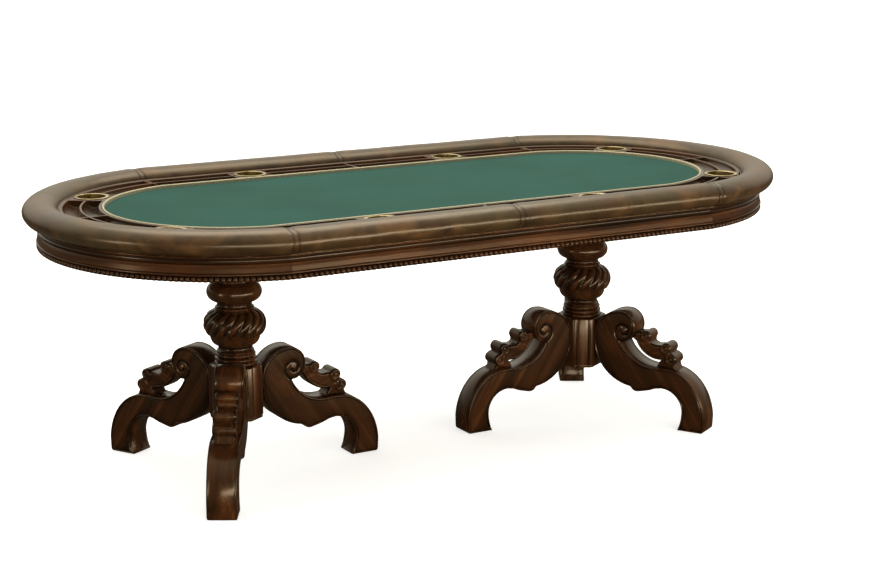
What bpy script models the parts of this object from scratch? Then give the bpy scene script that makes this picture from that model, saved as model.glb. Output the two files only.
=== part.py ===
"""Oval pedestal gaming table, at real size in metres, standing on Z = 0 with +Z up.

The long axis of the top is X. A padded leather rail runs round the edge, inside it a wooden rail
holds drop-in cup holders and chip troughs, and the middle is a felt playing surface. Two turned
pedestals, each on three scroll legs, carry the top. "Inset" below always means the distance in
from the outer edge of the leather rail, measured square to that edge in plan.
"""

import math

import bmesh
import bpy

# Driving dimensions -------------------------------------------------------------------------
TABLE_HEIGHT = 0.787
HALF_WIDTH = 0.5675
SEAM_X = 0.656
END_CENTRE_X = 0.562
END_RADIUS = math.hypot(SEAM_X - END_CENTRE_X, HALF_WIDTH)
GAP = 0.0003
JOINT = GAP / 2

RAIL_WIDTH = 0.096
RAIL_DEPTH = 0.067
RAIL_BOTTOM_Z = TABLE_HEIGHT - RAIL_DEPTH
CORE_INSETS = (0.036, 0.060)
CORE_TOP_Z = RAIL_BOTTOM_Z + 0.025

APRON_INSETS = (0.035, 0.0877)
APRON_BOTTOM_Z = 0.654
BEADING_TOP_Z = 0.671
BEADING_DEPTH = 0.012

WOOD_RING_INSETS = (0.0983, 0.2117)
WOOD_RING_TOP_Z = 0.759
WOOD_RING_BOTTOM_Z = 0.734
CUP_INSET = 0.155
CUP_ALONG = {"front": 0.336, "back": 0.336, "left": 0.306, "right": 0.306}
TROUGH_INSETS = (0.1295, 0.1805)
TROUGH_HALF_WIDTH = 0.0225
TROUGH_DEPTH = 0.020
TROUGH_TO_CUP = 0.056
DIVIDER_HALF = 0.004

CUP_RADIUS = 0.041
CUP_WALL = 0.0013
CUP_DEPTH = 0.070
CUP_FLANGE_RADIUS = 0.0485
CUP_FLANGE_THICK = 0.0022
CUP_HOLE_RADIUS = 0.0425

FELT_TOP_Z = 0.752
FELT_THICK = 0.0067
FELT_BEAD_INSETS = (0.212, 0.2187)
FELT_BEAD_TOP_Z = 0.7612
BED_TOP_Z = WOOD_RING_BOTTOM_Z - GAP
BED_THICK = 0.019
BED_INSET = 0.088

PEDESTAL_X = 0.577
BATTEN_SIZE = (0.150, 0.760, 0.024)
PLATE_SIZE = (0.280, 0.280, 0.020)
HUB_BOTTOM_Z = 0.157
HUB_TOP_Z = 0.3097
HUB_LEG_FACE = 0.0617
HUB_PLAIN_FACE = 0.0715
HUB_PLAIN_HALF_WIDTH = 0.0265
LEG_THICK = 0.080
CREST_THICK = 0.064

COLUMN_SIDES = 20
CUP_SIDES = 20
END_STEPS = 14


def clear_scene():
    for found in list(bpy.data.objects):
        bpy.data.objects.remove(found, do_unlink=True)


def finish_material(name, colour, roughness, metallic=0.0):
    made = bpy.data.materials.new(name)
    made.use_nodes = True
    shader = made.node_tree.nodes["Principled BSDF"]
    shader.inputs["Base Color"].default_value = (*colour, 1.0)
    shader.inputs["Roughness"].default_value = roughness
    shader.inputs["Metallic"].default_value = metallic
    return made


# Meshes -------------------------------------------------------------------------------------
def mesh_from(name, bm):
    bmesh.ops.recalc_face_normals(bm, faces=bm.faces)
    mesh = bpy.data.meshes.new(name)
    bm.to_mesh(mesh)
    bm.free()
    return mesh


def place(name, mesh, material, location=(0.0, 0.0, 0.0), turn=0.0, parent=None):
    """An object of this mesh, turned about Z by `turn` radians."""
    if not mesh.materials:
        mesh.materials.append(material)
    made = bpy.data.objects.new(name, mesh)
    made.location = location
    made.rotation_euler = (0.0, 0.0, turn)
    made.parent = parent
    bpy.context.scene.collection.objects.link(made)
    return made


def make_cutter(name, mesh):
    made = bpy.data.objects.new(name, mesh)
    made.hide_render = True
    made.display_type = "WIRE"
    bpy.context.scene.collection.objects.link(made)
    return made


def cut(target, cutter):
    boolean = target.modifiers.new("cut", "BOOLEAN")
    boolean.operation = "DIFFERENCE"
    boolean.solver = "EXACT"
    boolean.object = cutter


def add_tube(bm, rings):
    """Joins closed rings of points, one after another, and caps the two ends."""
    rows = [[bm.verts.new(point) for point in ring] for ring in rings]
    for row, following in zip(rows, rows[1:]):
        for i in range(len(row)):
            j = (i + 1) % len(row)
            bm.faces.new((row[i], row[j], following[j], following[i]))
    bm.faces.new(rows[0])
    bm.faces.new(rows[-1])


def add_prism(bm, outline, low, high, upright=False):
    """An outline given flat, as (x, y), or upright, as (x, z), extruded from low to high."""
    flat = [(a, low, b) if upright else (a, b, low) for a, b in outline]
    face = bm.faces.new([bm.verts.new(point) for point in flat])
    grown = bmesh.ops.extrude_face_region(bm, geom=[face])["geom"]
    step = (0.0, high - low, 0.0) if upright else (0.0, 0.0, high - low)
    moved = [item for item in grown if isinstance(item, bmesh.types.BMVert)]
    bmesh.ops.translate(bm, verts=moved, vec=step)


def prism_mesh(name, outline, low, high, upright=False):
    bm = bmesh.new()
    add_prism(bm, outline, low, high, upright)
    return mesh_from(name, bm)


def turned_mesh(name, profile, sides):
    """A (radius, z) profile that starts and ends on the axis, spun about Z."""
    bm = bmesh.new()
    verts = [bm.verts.new((radius, 0.0, z)) for radius, z in profile]
    edges = [bm.edges.new(pair) for pair in zip(verts, verts[1:])]
    bmesh.ops.spin(
        bm,
        geom=verts + edges,
        cent=(0.0, 0.0, 0.0),
        axis=(0.0, 0.0, 1.0),
        angle=math.tau,
        steps=sides,
        use_merge=True,
    )
    bmesh.ops.remove_doubles(bm, verts=bm.verts, dist=0.00001)
    mesh = mesh_from(name, bm)
    mesh.shade_smooth()
    mesh.set_sharp_from_angle(angle=math.radians(35))
    return mesh


def circle(x, y, radius, sides):
    turns = [math.tau * i / sides for i in range(sides)]
    return [(x + radius * math.cos(a), y + radius * math.sin(a)) for a in turns]


def arc(centre, radii, start, end, steps):
    """Points of an elliptical arc from start to end, in degrees."""
    points = []
    for i in range(steps + 1):
        angle = math.radians(start + (end - start) * i / steps)
        across = centre[0] + radii[0] * math.cos(angle)
        up = centre[1] + radii[1] * math.sin(angle)
        points.append((across, up))
    return points


def rectangle(half_x, half_y, x=0.0, y=0.0):
    return [
        (x - half_x, y - half_y),
        (x + half_x, y - half_y),
        (x + half_x, y + half_y),
        (x - half_x, y + half_y),
    ]


# The rim in plan ----------------------------------------------------------------------------
def rim_corner(inset):
    """The angle at which the end's arc meets the straight side, at this inset."""
    return math.asin((HALF_WIDTH - inset) / (END_RADIUS - inset))


def rim_reach(inset, side):
    """From the middle of a side or an end, along the rim, to the seam between them."""
    radius = END_RADIUS - inset
    if side in ("front", "back"):
        return END_CENTRE_X + radius * math.cos(rim_corner(inset))
    return radius * rim_corner(inset)


def rim_point(inset, side, along, measured_at=None):
    """The plan point at this inset, a signed distance from the middle of the side or end."""
    if side in ("front", "back"):
        sign = 1.0 if side == "back" else -1.0
        return along, sign * (HALF_WIDTH - inset)
    sign = 1.0 if side == "right" else -1.0
    angle = along / (END_RADIUS - (inset if measured_at is None else measured_at))
    radius = END_RADIUS - inset
    return sign * (END_CENTRE_X + radius * math.cos(angle)), radius * math.sin(angle)


def rim_piece(section, side, half=0):
    """A section of (inset, z) points swept along a side or an end, or along half of it."""
    steps = 1 if side in ("front", "back") else (END_STEPS if half == 0 else END_STEPS // 2)
    bm = bmesh.new()
    rings = []
    for i in range(steps + 1):
        ring = []
        for inset, z in section:
            reach = rim_reach(inset, side) - JOINT
            if half == 0:
                along = reach * (2.0 * i / steps - 1.0)
            else:
                along = half * (JOINT + (reach - JOINT) * i / steps)
            ring.append((*rim_point(inset, side, along), z))
        rings.append(ring)
    add_tube(bm, rings)
    return bm


def rim_outline(inset):
    """The whole oval at this inset, anticlockwise."""
    corner = math.degrees(rim_corner(inset))
    radii = (END_RADIUS - inset, END_RADIUS - inset)
    right = arc((END_CENTRE_X, 0.0), radii, -corner, corner, END_STEPS)
    left = arc((-END_CENTRE_X, 0.0), radii, 180.0 - corner, 180.0 + corner, END_STEPS)
    return right + left


# Leather rail and its wooden core -----------------------------------------------------------
def rail_pad_section():
    centre = (RAIL_WIDTH / 2, TABLE_HEIGHT - RAIL_DEPTH / 2)
    radii = (RAIL_WIDTH / 2, RAIL_DEPTH / 2)
    low, high = CORE_INSETS
    over = arc(centre, radii, -70.0, 250.0, 16)
    notch = [
        (low - GAP, RAIL_BOTTOM_Z + 0.002),
        (low - GAP, CORE_TOP_Z + GAP),
        (high + GAP, CORE_TOP_Z + GAP),
        (high + GAP, RAIL_BOTTOM_Z + 0.002),
    ]
    return over + notch


def make_rail(leather, timber):
    low, high = CORE_INSETS
    core = [
        (low, RAIL_BOTTOM_Z + GAP),
        (high, RAIL_BOTTOM_Z + GAP),
        (high, CORE_TOP_Z),
        (low, CORE_TOP_Z),
    ]
    for side in ("front", "back"):
        for half, end in ((-1, "left"), (1, "right")):
            name = f"rail_pad_{side}_{end}"
            mesh = mesh_from(name, rim_piece(rail_pad_section(), side, half))
            mesh.shade_smooth()
            mesh.set_sharp_from_angle(angle=math.radians(40))
            place(name, mesh, leather)
    for side in ("left", "right"):
        name = f"rail_pad_{side}_end"
        mesh = mesh_from(name, rim_piece(rail_pad_section(), side))
        mesh.shade_smooth()
        mesh.set_sharp_from_angle(angle=math.radians(40))
        place(name, mesh, leather)
    for side in ("front", "back", "left", "right"):
        name = f"rail_core_{side}"
        place(name, mesh_from(name, rim_piece(core, side)), timber)


# Apron with its beading ---------------------------------------------------------------------
def apron_section():
    """Top fillet, cove, flat band, groove and bottom fillet, with a rebate for the beading."""
    outer, inner = APRON_INSETS
    cove = arc((outer + 0.004, 0.7075), (0.0075, 0.0075), 90.0, -90.0, 4)
    return [
        (inner, APRON_BOTTOM_Z + 0.004),
        (inner, RAIL_BOTTOM_Z),
        (outer + 0.004, RAIL_BOTTOM_Z),
        (outer + 0.004, 0.7170),
        *cove,
        (outer + 0.001, 0.6990),
        (outer + 0.001, 0.6820),
        (outer + 0.005, 0.6790),
        (outer + 0.005, 0.6750),
        (outer, 0.6740),
        (outer, BEADING_TOP_Z + GAP),
        (outer + BEADING_DEPTH, BEADING_TOP_Z + GAP),
        (outer + BEADING_DEPTH, APRON_BOTTOM_Z + 0.004),
    ]


def beading_section():
    outer = APRON_INSETS[0]
    inner = outer + BEADING_DEPTH - GAP
    face = arc((outer + 0.006, 0.6628), (0.0080, 0.0075), 110.0, 250.0, 4)
    return [(inner, APRON_BOTTOM_Z), (inner, BEADING_TOP_Z), *face]


def make_apron(timber):
    for side in ("front", "back", "left", "right"):
        name = f"apron_{side}"
        place(name, mesh_from(name, rim_piece(apron_section(), side)), timber)
        name = f"beading_{side}"
        place(name, mesh_from(name, rim_piece(beading_section(), side)), timber)


# Wooden ring with chip troughs and cup holders ----------------------------------------------
def wood_ring_section():
    outer, inner = WOOD_RING_INSETS
    return [
        (outer, WOOD_RING_BOTTOM_Z),
        (inner, WOOD_RING_BOTTOM_Z),
        (inner, WOOD_RING_TOP_Z),
        (outer, WOOD_RING_TOP_Z),
    ]


def trough_section(inset):
    radii = (TROUGH_HALF_WIDTH, TROUGH_DEPTH)
    bowl = arc((inset, WOOD_RING_TOP_Z), radii, 180.0, 360.0, 6)
    top = WOOD_RING_TOP_Z + 0.005
    return [*bowl, (inset + TROUGH_HALF_WIDTH, top), (inset - TROUGH_HALF_WIDTH, top)]


def trough_spans(side):
    """Where the troughs start and end along half a side or end, measured at the cups' inset."""
    reach = rim_reach(CUP_INSET, side)
    return [
        (DIVIDER_HALF, CUP_ALONG[side] - TROUGH_TO_CUP),
        (CUP_ALONG[side] + TROUGH_TO_CUP, reach - DIVIDER_HALF),
    ]


def add_trough(bm, side, half, inset, span):
    steps = 1 if side in ("front", "back") else 4
    rings = []
    for i in range(steps + 1):
        along = half * (span[0] + (span[1] - span[0]) * i / steps)
        ring = []
        for section_inset, z in trough_section(inset):
            ring.append((*rim_point(section_inset, side, along, CUP_INSET), z))
        rings.append(ring)
    add_tube(bm, rings)


def cup_places():
    """(side, half, name) of every cup: four on the long sides and four round the ends."""
    names = {
        "front": ("left", "right"),
        "back": ("left", "right"),
        "left": ("front", "back"),
        "right": ("front", "back"),
    }
    for side, ends in names.items():
        for half, end in zip((-1, 1), ends):
            yield side, half, f"{side}_{end}"


def make_wood_ring(timber):
    for side, half, where in cup_places():
        name = f"chip_rail_{where}"
        piece = place(name, mesh_from(name, rim_piece(wood_ring_section(), side, half)), timber)
        bm = bmesh.new()
        for inset in TROUGH_INSETS:
            for span in trough_spans(side):
                add_trough(bm, side, half, inset, span)
        x, y = rim_point(CUP_INSET, side, half * CUP_ALONG[side])
        hole = circle(x, y, CUP_HOLE_RADIUS, CUP_SIDES)
        add_prism(bm, hole, WOOD_RING_BOTTOM_Z - 0.01, WOOD_RING_TOP_Z + 0.01)
        cut(piece, make_cutter(f"cutter_{where}", mesh_from(f"cutter_{where}", bm)))


def cup_profile():
    """From the bottom's middle up the outside, over the flange and down the inside."""
    bottom = WOOD_RING_TOP_Z + GAP - CUP_DEPTH
    seat = WOOD_RING_TOP_Z + GAP
    top = seat + CUP_FLANGE_THICK
    inner = CUP_RADIUS - CUP_WALL
    return [
        (0.0, bottom),
        (CUP_RADIUS - 0.004, bottom),
        (CUP_RADIUS, bottom + 0.004),
        (CUP_RADIUS, seat),
        (CUP_FLANGE_RADIUS, seat),
        (CUP_FLANGE_RADIUS - 0.001, top),
        (inner, top),
        (inner, bottom + 0.005),
        (inner - 0.004, bottom + CUP_WALL),
        (0.0, bottom + CUP_WALL),
    ]


def make_cups(brass):
    mesh = turned_mesh("cup_holder", cup_profile(), CUP_SIDES)
    for side, half, where in cup_places():
        x, y = rim_point(CUP_INSET, side, half * CUP_ALONG[side])
        place(f"cup_holder_{where}", mesh, brass, (x, y, 0.0))


# Playing surface and the boards under it ----------------------------------------------------
def make_playing_surface(felt, gilt, board):
    bottom = FELT_TOP_Z - FELT_THICK
    inset = FELT_BEAD_INSETS[1] + GAP
    mesh = prism_mesh("felt_cloth", rim_outline(inset), bottom, FELT_TOP_Z)
    place("felt_cloth", mesh, felt)

    outer, inner = FELT_BEAD_INSETS
    ring = prism_mesh("felt_bead", rim_outline(outer), bottom, FELT_BEAD_TOP_Z)
    bead = place("felt_bead", ring, gilt)
    well = prism_mesh("felt_bead_well", rim_outline(inner), bottom - 0.01, FELT_BEAD_TOP_Z + 0.01)
    cut(bead, make_cutter("cutter_felt_bead", well))

    inset = WOOD_RING_INSETS[1] + GAP
    mesh = prism_mesh("playing_board", rim_outline(inset), WOOD_RING_BOTTOM_Z, bottom - GAP)
    place("playing_board", mesh, board)

    low = BED_TOP_Z - BED_THICK
    mesh = prism_mesh("table_bed", rim_outline(BED_INSET), low, BED_TOP_Z)
    bed = place("table_bed", mesh, board)
    bm = bmesh.new()
    for side, half, _ in cup_places():
        x, y = rim_point(CUP_INSET, side, half * CUP_ALONG[side])
        hole = circle(x, y, CUP_HOLE_RADIUS, CUP_SIDES)
        add_prism(bm, hole, low - 0.01, BED_TOP_Z + 0.01)
    cut(bed, make_cutter("cutter_table_bed", mesh_from("cutter_table_bed", bm)))


# Pedestals ----------------------------------------------------------------------------------
def column_profile(top_z):
    """Hub rings, tapered cup, gadrooned bulb, neck, bun, upper neck and head block."""
    return [
        (0.0, HUB_TOP_Z + GAP),
        (0.0585, HUB_TOP_Z + GAP),
        (0.0600, 0.3160),
        (0.0560, 0.3210),
        (0.0585, 0.3270),
        (0.0540, 0.3330),
        (0.0560, 0.3400),
        (0.0500, 0.3460),
        (0.0465, 0.3600),
        *arc((0.0465, 0.3930), (0.0220, 0.0320), -80.0, -5.0, 3),
        (0.0700, 0.3940),
        (0.0760, 0.4000),
        *arc((0.0500, 0.4240), (0.0375, 0.0400), -35.0, 65.0, 6),
        (0.0545, 0.4700),
        (0.0480, 0.4770),
        (0.0500, 0.4850),
        *arc((0.0500, 0.5150), (0.0265, 0.0250), -70.0, 70.0, 6),
        (0.0520, 0.5460),
        (0.0460, 0.5560),
        (0.0480, 0.6050),
        (0.0620, 0.6350),
        (0.0700, 0.6400),
        (0.0700, top_z),
        (0.0, top_z),
    ]


def hub_outline():
    """Three faces that the legs stand against, and three plain faces between them."""
    points = []
    half_leg = LEG_THICK / 2
    corners = [
        (0.0, HUB_LEG_FACE, -half_leg),
        (0.0, HUB_LEG_FACE, half_leg),
        (60.0, HUB_PLAIN_FACE, -HUB_PLAIN_HALF_WIDTH),
        (60.0, HUB_PLAIN_FACE, HUB_PLAIN_HALF_WIDTH),
    ]
    for leg in range(3):
        for degrees, out, across in corners:
            turn = math.radians(120.0 * leg + degrees)
            x = out * math.cos(turn) - across * math.sin(turn)
            y = out * math.sin(turn) + across * math.cos(turn)
            points.append((x, y))
    return points


def leg_outline():
    """(distance from the pedestal's axis, height) round one scroll leg."""
    foot = [(0.341, 0.0), (0.419, 0.0), (0.4245, 0.010)]
    knee = arc((0.300, 0.030), (0.126, 0.153), 4.0, 90.0, 10)
    hollow = arc((0.255, 0.292), (0.1105, 0.1105), 280.0, 203.5, 9)
    volute = arc((0.148, 0.2955), (0.0475, 0.0475), -80.0, 90.0, 11)
    shoulder = arc((0.148, 0.262), (0.086, 0.081), 97.0, 180.0, 7)
    back = arc((0.200, 0.252), (0.138, 0.138), 183.0, 263.0, 9)
    belly = [(0.188, 0.1120), (0.199, 0.1030), (0.208, 0.1015), (0.247, 0.1105)]
    instep = arc((0.287, 0.0545), (0.067, 0.067), 90.0, 0.0, 7)
    toe = [(0.3525, 0.034), (0.348, 0.015)]
    return foot + knee + hollow + volute + shoulder + back + belly + instep + toe


def crest_outline():
    """The carved bridge of leaf lobes between a leg's volute and its knee."""
    sole = [(0.2640, 0.1842), (0.3000, 0.1838), (0.3200, 0.1816), (0.3300, 0.1795)]
    lobe_low = arc((0.3110, 0.2110), (0.0175, 0.0165), -55.0, 50.0, 4)
    lobe_mid = arc((0.2940, 0.2430), (0.0165, 0.0165), -25.0, 150.0, 5)
    leaf = [(0.2680, 0.2470), (0.2520, 0.2580)]
    lobe_top = arc((0.2290, 0.2740), (0.0155, 0.0155), -30.0, 140.0, 5)
    at_volute = arc((0.148, 0.2955), (0.0479, 0.0479), -16.0, -42.0, 2)
    under = arc((0.270, 0.285), (0.080, 0.080), 202.0, 275.0, 7)
    return sole + lobe_low + lobe_mid + leaf + lobe_top + at_volute + under + [(0.2700, 0.1930)]


def make_pedestal(name, x, inner_turn, walnut, board, leg_mesh, crest_mesh):
    base = bpy.data.objects.new(f"{name}_pedestal", None)
    base.location = (x, 0.0, 0.0)
    bpy.context.scene.collection.objects.link(base)

    batten_bottom = BED_TOP_Z - BED_THICK - GAP - BATTEN_SIZE[2]
    outline = rectangle(BATTEN_SIZE[0] / 2, BATTEN_SIZE[1] / 2)
    mesh = prism_mesh(f"{name}_batten", outline, batten_bottom, batten_bottom + BATTEN_SIZE[2])
    place(f"{name}_batten", mesh, board, parent=base)

    plate_bottom = batten_bottom - GAP - PLATE_SIZE[2]
    outline = rectangle(PLATE_SIZE[0] / 2, PLATE_SIZE[1] / 2)
    mesh = prism_mesh(f"{name}_plate", outline, plate_bottom, plate_bottom + PLATE_SIZE[2])
    place(f"{name}_plate", mesh, walnut, parent=base)

    profile = column_profile(plate_bottom - GAP)
    mesh = turned_mesh(f"{name}_column", profile, COLUMN_SIDES)
    place(f"{name}_column", mesh, walnut, parent=base)

    mesh = prism_mesh(f"{name}_hub", hub_outline(), HUB_BOTTOM_Z, HUB_TOP_Z)
    place(f"{name}_hub", mesh, walnut, turn=inner_turn, parent=base)

    ways = (("inner", 0.0), ("front", -2.0 * math.pi / 3.0), ("back", 2.0 * math.pi / 3.0))
    for way, turn in ways:
        facing = inner_turn + (turn if inner_turn == 0.0 else -turn)
        place(f"{name}_leg_{way}", leg_mesh, walnut, turn=facing, parent=base)
        place(f"{name}_crest_{way}", crest_mesh, walnut, turn=facing, parent=base)


def main():
    clear_scene()
    walnut = finish_material("dark_mahogany", (0.070, 0.024, 0.014), 0.30)
    leather = finish_material("antique_leather", (0.150, 0.070, 0.035), 0.38)
    brass = finish_material("polished_brass", (0.780, 0.560, 0.250), 0.22, 1.0)
    felt = finish_material("green_felt", (0.030, 0.130, 0.100), 0.95)
    gilt = finish_material("gilt_bead", (0.620, 0.500, 0.280), 0.35, 0.6)
    board = finish_material("birch_board", (0.420, 0.290, 0.170), 0.70)

    make_rail(leather, board)
    make_apron(walnut)
    make_wood_ring(walnut)
    make_cups(brass)
    make_playing_surface(felt, gilt, board)

    half_leg = LEG_THICK / 2
    half_crest = CREST_THICK / 2
    leg_mesh = prism_mesh("scroll_leg", leg_outline(), -half_leg, half_leg, upright=True)
    crest_mesh = prism_mesh("leg_crest", crest_outline(), -half_crest, half_crest, upright=True)
    make_pedestal("left", -PEDESTAL_X, 0.0, walnut, board, leg_mesh, crest_mesh)
    make_pedestal("right", PEDESTAL_X, math.pi, walnut, board, leg_mesh, crest_mesh)


main()
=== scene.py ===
# %% [markdown]
# # An oval gaming table, dressed piece by piece
# The frame below is the table as it was engineered: every board, column, leg and cup is already at
# its real size and place. This lesson gives each of those pieces the surface that a maker gives it:
# carving and lacquer on the mahogany, stuffed leather on the rail, felt on the playing surface and
# lathe-turned brass in the rail. Units are metres, Z is up and the table stands on Z = 0.

import math

import bmesh
import bpy
import numpy as np
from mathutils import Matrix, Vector, geometry, noise


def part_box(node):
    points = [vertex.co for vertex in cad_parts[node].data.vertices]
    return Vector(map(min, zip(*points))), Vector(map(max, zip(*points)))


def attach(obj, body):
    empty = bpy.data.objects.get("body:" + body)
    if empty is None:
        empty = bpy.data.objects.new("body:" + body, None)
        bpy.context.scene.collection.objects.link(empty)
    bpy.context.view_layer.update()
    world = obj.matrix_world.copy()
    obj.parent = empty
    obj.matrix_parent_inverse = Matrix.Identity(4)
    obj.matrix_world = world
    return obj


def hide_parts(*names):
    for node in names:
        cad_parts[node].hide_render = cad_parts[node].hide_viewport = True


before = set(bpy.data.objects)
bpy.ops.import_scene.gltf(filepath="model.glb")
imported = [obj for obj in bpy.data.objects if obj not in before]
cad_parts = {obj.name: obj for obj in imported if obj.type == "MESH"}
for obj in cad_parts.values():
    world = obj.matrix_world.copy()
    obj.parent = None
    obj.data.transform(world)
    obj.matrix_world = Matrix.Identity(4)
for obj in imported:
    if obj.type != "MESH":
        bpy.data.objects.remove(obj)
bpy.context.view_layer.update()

# %% [markdown]
# ## Camera
# A long lens from a little above the rail keeps the long oval from bulging, as in a furniture
# catalogue. The camera needs no shift: it looks straight at what it frames.

# %% Camera
CAMERA_PLACE = (-2.636, -4.680, 1.683)
CAMERA_DOWN = math.radians(12.97)
CAMERA_TURN = math.radians(29.94)

camera_data = bpy.data.cameras.new("camera")
camera_data.lens = 78.6
camera_data.sensor_width = 36.0
camera = bpy.data.objects.new("camera", camera_data)
camera.location = CAMERA_PLACE
camera.rotation_euler = (math.radians(90.0) - CAMERA_DOWN, 0.0, -CAMERA_TURN)
bpy.context.scene.collection.objects.link(camera)
bpy.context.scene.camera = camera
print("camera is", round(Vector(CAMERA_PLACE).length, 2), "m from the middle of the table's foot")

# %% [markdown]
# ## Colours and nodes
# Paint charts give colours as sRGB hex, while shaders work in linear light, so one function turns
# one into the other. A second small function adds any node: its settings, its constant inputs and
# its links in one call. The short ones after it name the few kinds of node that every finish uses,
# so that a material reads from top to bottom like the maker's recipe.

# %% Colour and node helpers
def linear(colour):
    """An sRGB hex colour as linear RGBA."""
    made = []
    for i in (1, 3, 5):
        value = int(colour[i : i + 2], 16) / 255.0
        made.append(value / 12.92 if value <= 0.04045 else ((value + 0.055) / 1.055) ** 2.4)
    return (*made, 1.0)


def add_node(tree, kind, inputs=(), stops=(), **settings):
    """Adds a node. An input is a constant or a node's output, and stops fill a colour ramp."""
    made = tree.nodes.new(kind)
    for name, value in settings.items():
        setattr(made, name, value)
    for name, value in dict(inputs).items():
        if isinstance(value, bpy.types.NodeSocket):
            tree.links.new(value, made.inputs[name])
        else:
            made.inputs[name].default_value = value
    for i, (position, colour) in enumerate(stops):
        ramp = made.color_ramp.elements
        stop = ramp[i] if i < 2 else ramp.new(position)
        stop.position = position
        stop.color = linear(colour)
    return made


def new_material(name):
    """An empty node tree with its output, and the material that holds it."""
    made = bpy.data.materials.new(name)
    made.use_nodes = True
    made.node_tree.nodes.clear()
    output = made.node_tree.nodes.new("ShaderNodeOutputMaterial")
    return made, made.node_tree, output


def noise_at(tree, place, scale, detail, **more):
    """The value of a noise pattern; a larger scale is a finer pattern."""
    inputs = {"Vector": place, "Scale": scale, "Detail": detail, **more}
    return add_node(tree, "ShaderNodeTexNoise", inputs).outputs["Fac"]


def ramp(tree, value, *stops):
    """Turns a value into a colour, by stops of (value, hex)."""
    return add_node(tree, "ShaderNodeValToRGB", {"Fac": value}, stops=stops).outputs["Color"]


def remap(tree, value, low, high, to_low, to_high):
    """Stretches a value's range from low..high to to_low..to_high."""
    inputs = {"Value": value, "From Min": low, "From Max": high,
              "To Min": to_low, "To Max": to_high}
    return add_node(tree, "ShaderNodeMapRange", inputs).outputs["Result"]


def mixed(tree, share, first, second, blend="MIX"):
    """Two colours laid over each other."""
    inputs = {0: share, 6: first, 7: second}
    return add_node(tree, "ShaderNodeMix", inputs, data_type="RGBA", blend_type=blend).outputs[2]


def bumped(tree, height, strength, distance, **more):
    """A normal tilted by a fine relief that is too small to model."""
    inputs = {"Height": height, "Strength": strength, "Distance": distance, **more}
    return add_node(tree, "ShaderNodeBump", inputs).outputs[0]


def finish_with(tree, output, colour, roughness, normal, constants):
    """Ends a material with its shader: three maps, and constants set straight on the sockets."""
    inputs = {"Base Color": colour, "Roughness": roughness, "Normal": normal, **constants}
    shader = add_node(tree, "ShaderNodeBsdfPrincipled", inputs)
    tree.links.new(shader.outputs[0], output.inputs["Surface"])


print("white is", [round(x, 3) for x in linear("#ffffff")])

# %% [markdown]
# ## Floor and light
# A pale floor runs far past the frame, and the light is a studio's: a bright ceiling that
# leans towards the back, and dim surroundings near the horizon, which is what gives lacquer its
# depth. Two soft boxes low in front draw the highlights on the turned columns, and a long one
# draws the line along the leather's shoulder. The floor is a matt acrylic sheet, softly lit from
# below so that it stays white round the feet. For reflections and bounced light it counts as a
# grey card, so that the undersides stay as dark as they are in a room.

# %% Floor
FLOOR_HALF = 60.0
UNDERLIGHT = 0.62

floor_mesh = bpy.data.meshes.new("studio_floor")
corners = [(FLOOR_HALF * x, FLOOR_HALF * y, 0.0) for x, y in ((-1, -1), (1, -1), (1, 1), (-1, 1))]
floor_mesh.from_pydata(corners, [], [(0, 1, 2, 3)])
floor = bpy.data.objects.new("studio_floor", floor_mesh)
bpy.context.scene.collection.objects.link(floor)

acrylic, tree, output = new_material("matt_acrylic_floor")
seen_directly = add_node(tree, "ShaderNodeLightPath").outputs["Is Camera Ray"]
tone = mixed(tree, seen_directly, linear("#57534d"), linear("#eaeef6"))
card = add_node(tree, "ShaderNodeBsdfDiffuse", {"Color": tone})
glow = add_node(tree, "ShaderNodeEmission", {"Color": linear("#ffffff"), "Strength": UNDERLIGHT})
unlit = add_node(tree, "ShaderNodeEmission", {"Color": linear("#000000"), "Strength": 0.0})
lit = add_node(tree, "ShaderNodeMixShader",
               {0: seen_directly, 1: unlit.outputs[0], 2: glow.outputs[0]})
whole = add_node(tree, "ShaderNodeAddShader", {0: card.outputs[0], 1: lit.outputs[0]})
tree.links.new(whole.outputs[0], output.inputs["Surface"])
floor_mesh.materials.append(acrylic)
print("floor reaches", FLOOR_HALF, "m each way")

# %% World and soft boxes
scene = bpy.context.scene
scene.view_settings.view_transform = "Standard"
scene.world = bpy.data.worlds.new("studio")
scene.world.use_nodes = True
tree = scene.world.node_tree
tree.nodes.clear()
BRIGHT_SIDE = (0.16, 0.33, 0.930)
way = add_node(tree, "ShaderNodeTexCoord").outputs["Generated"]
facing = add_node(tree, "ShaderNodeVectorMath", {0: way, 1: BRIGHT_SIDE}, operation="DOT_PRODUCT")
strength = remap(tree, facing.outputs["Value"], 0.10, 0.95, 0.20, 1.60)
around = add_node(tree, "ShaderNodeBackground", {"Color": linear("#f8f1de"), "Strength": strength})
behind = add_node(tree, "ShaderNodeBackground", {"Color": linear("#ffffff"), "Strength": 1.0})
seen_directly = add_node(tree, "ShaderNodeLightPath").outputs["Is Camera Ray"]
sides = {0: seen_directly, 1: around.outputs[0], 2: behind.outputs[0]}
both = add_node(tree, "ShaderNodeMixShader", sides)
output = add_node(tree, "ShaderNodeOutputWorld", {"Surface": both.outputs[0]})


def soft_box(name, place, towards, size, power):
    """A rectangular area light at place, aimed at a point."""
    data = bpy.data.lights.new(name, "AREA")
    data.shape = "RECTANGLE"
    data.size, data.size_y = size
    data.energy = power
    data.color = linear("#fff3dc")[:3]
    made = bpy.data.objects.new(name, data)
    made.visible_camera = False
    made.location = place
    made.rotation_euler = (Vector(towards) - Vector(place)).to_track_quat("-Z", "Y").to_euler()
    bpy.context.scene.collection.objects.link(made)
    return made


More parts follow.
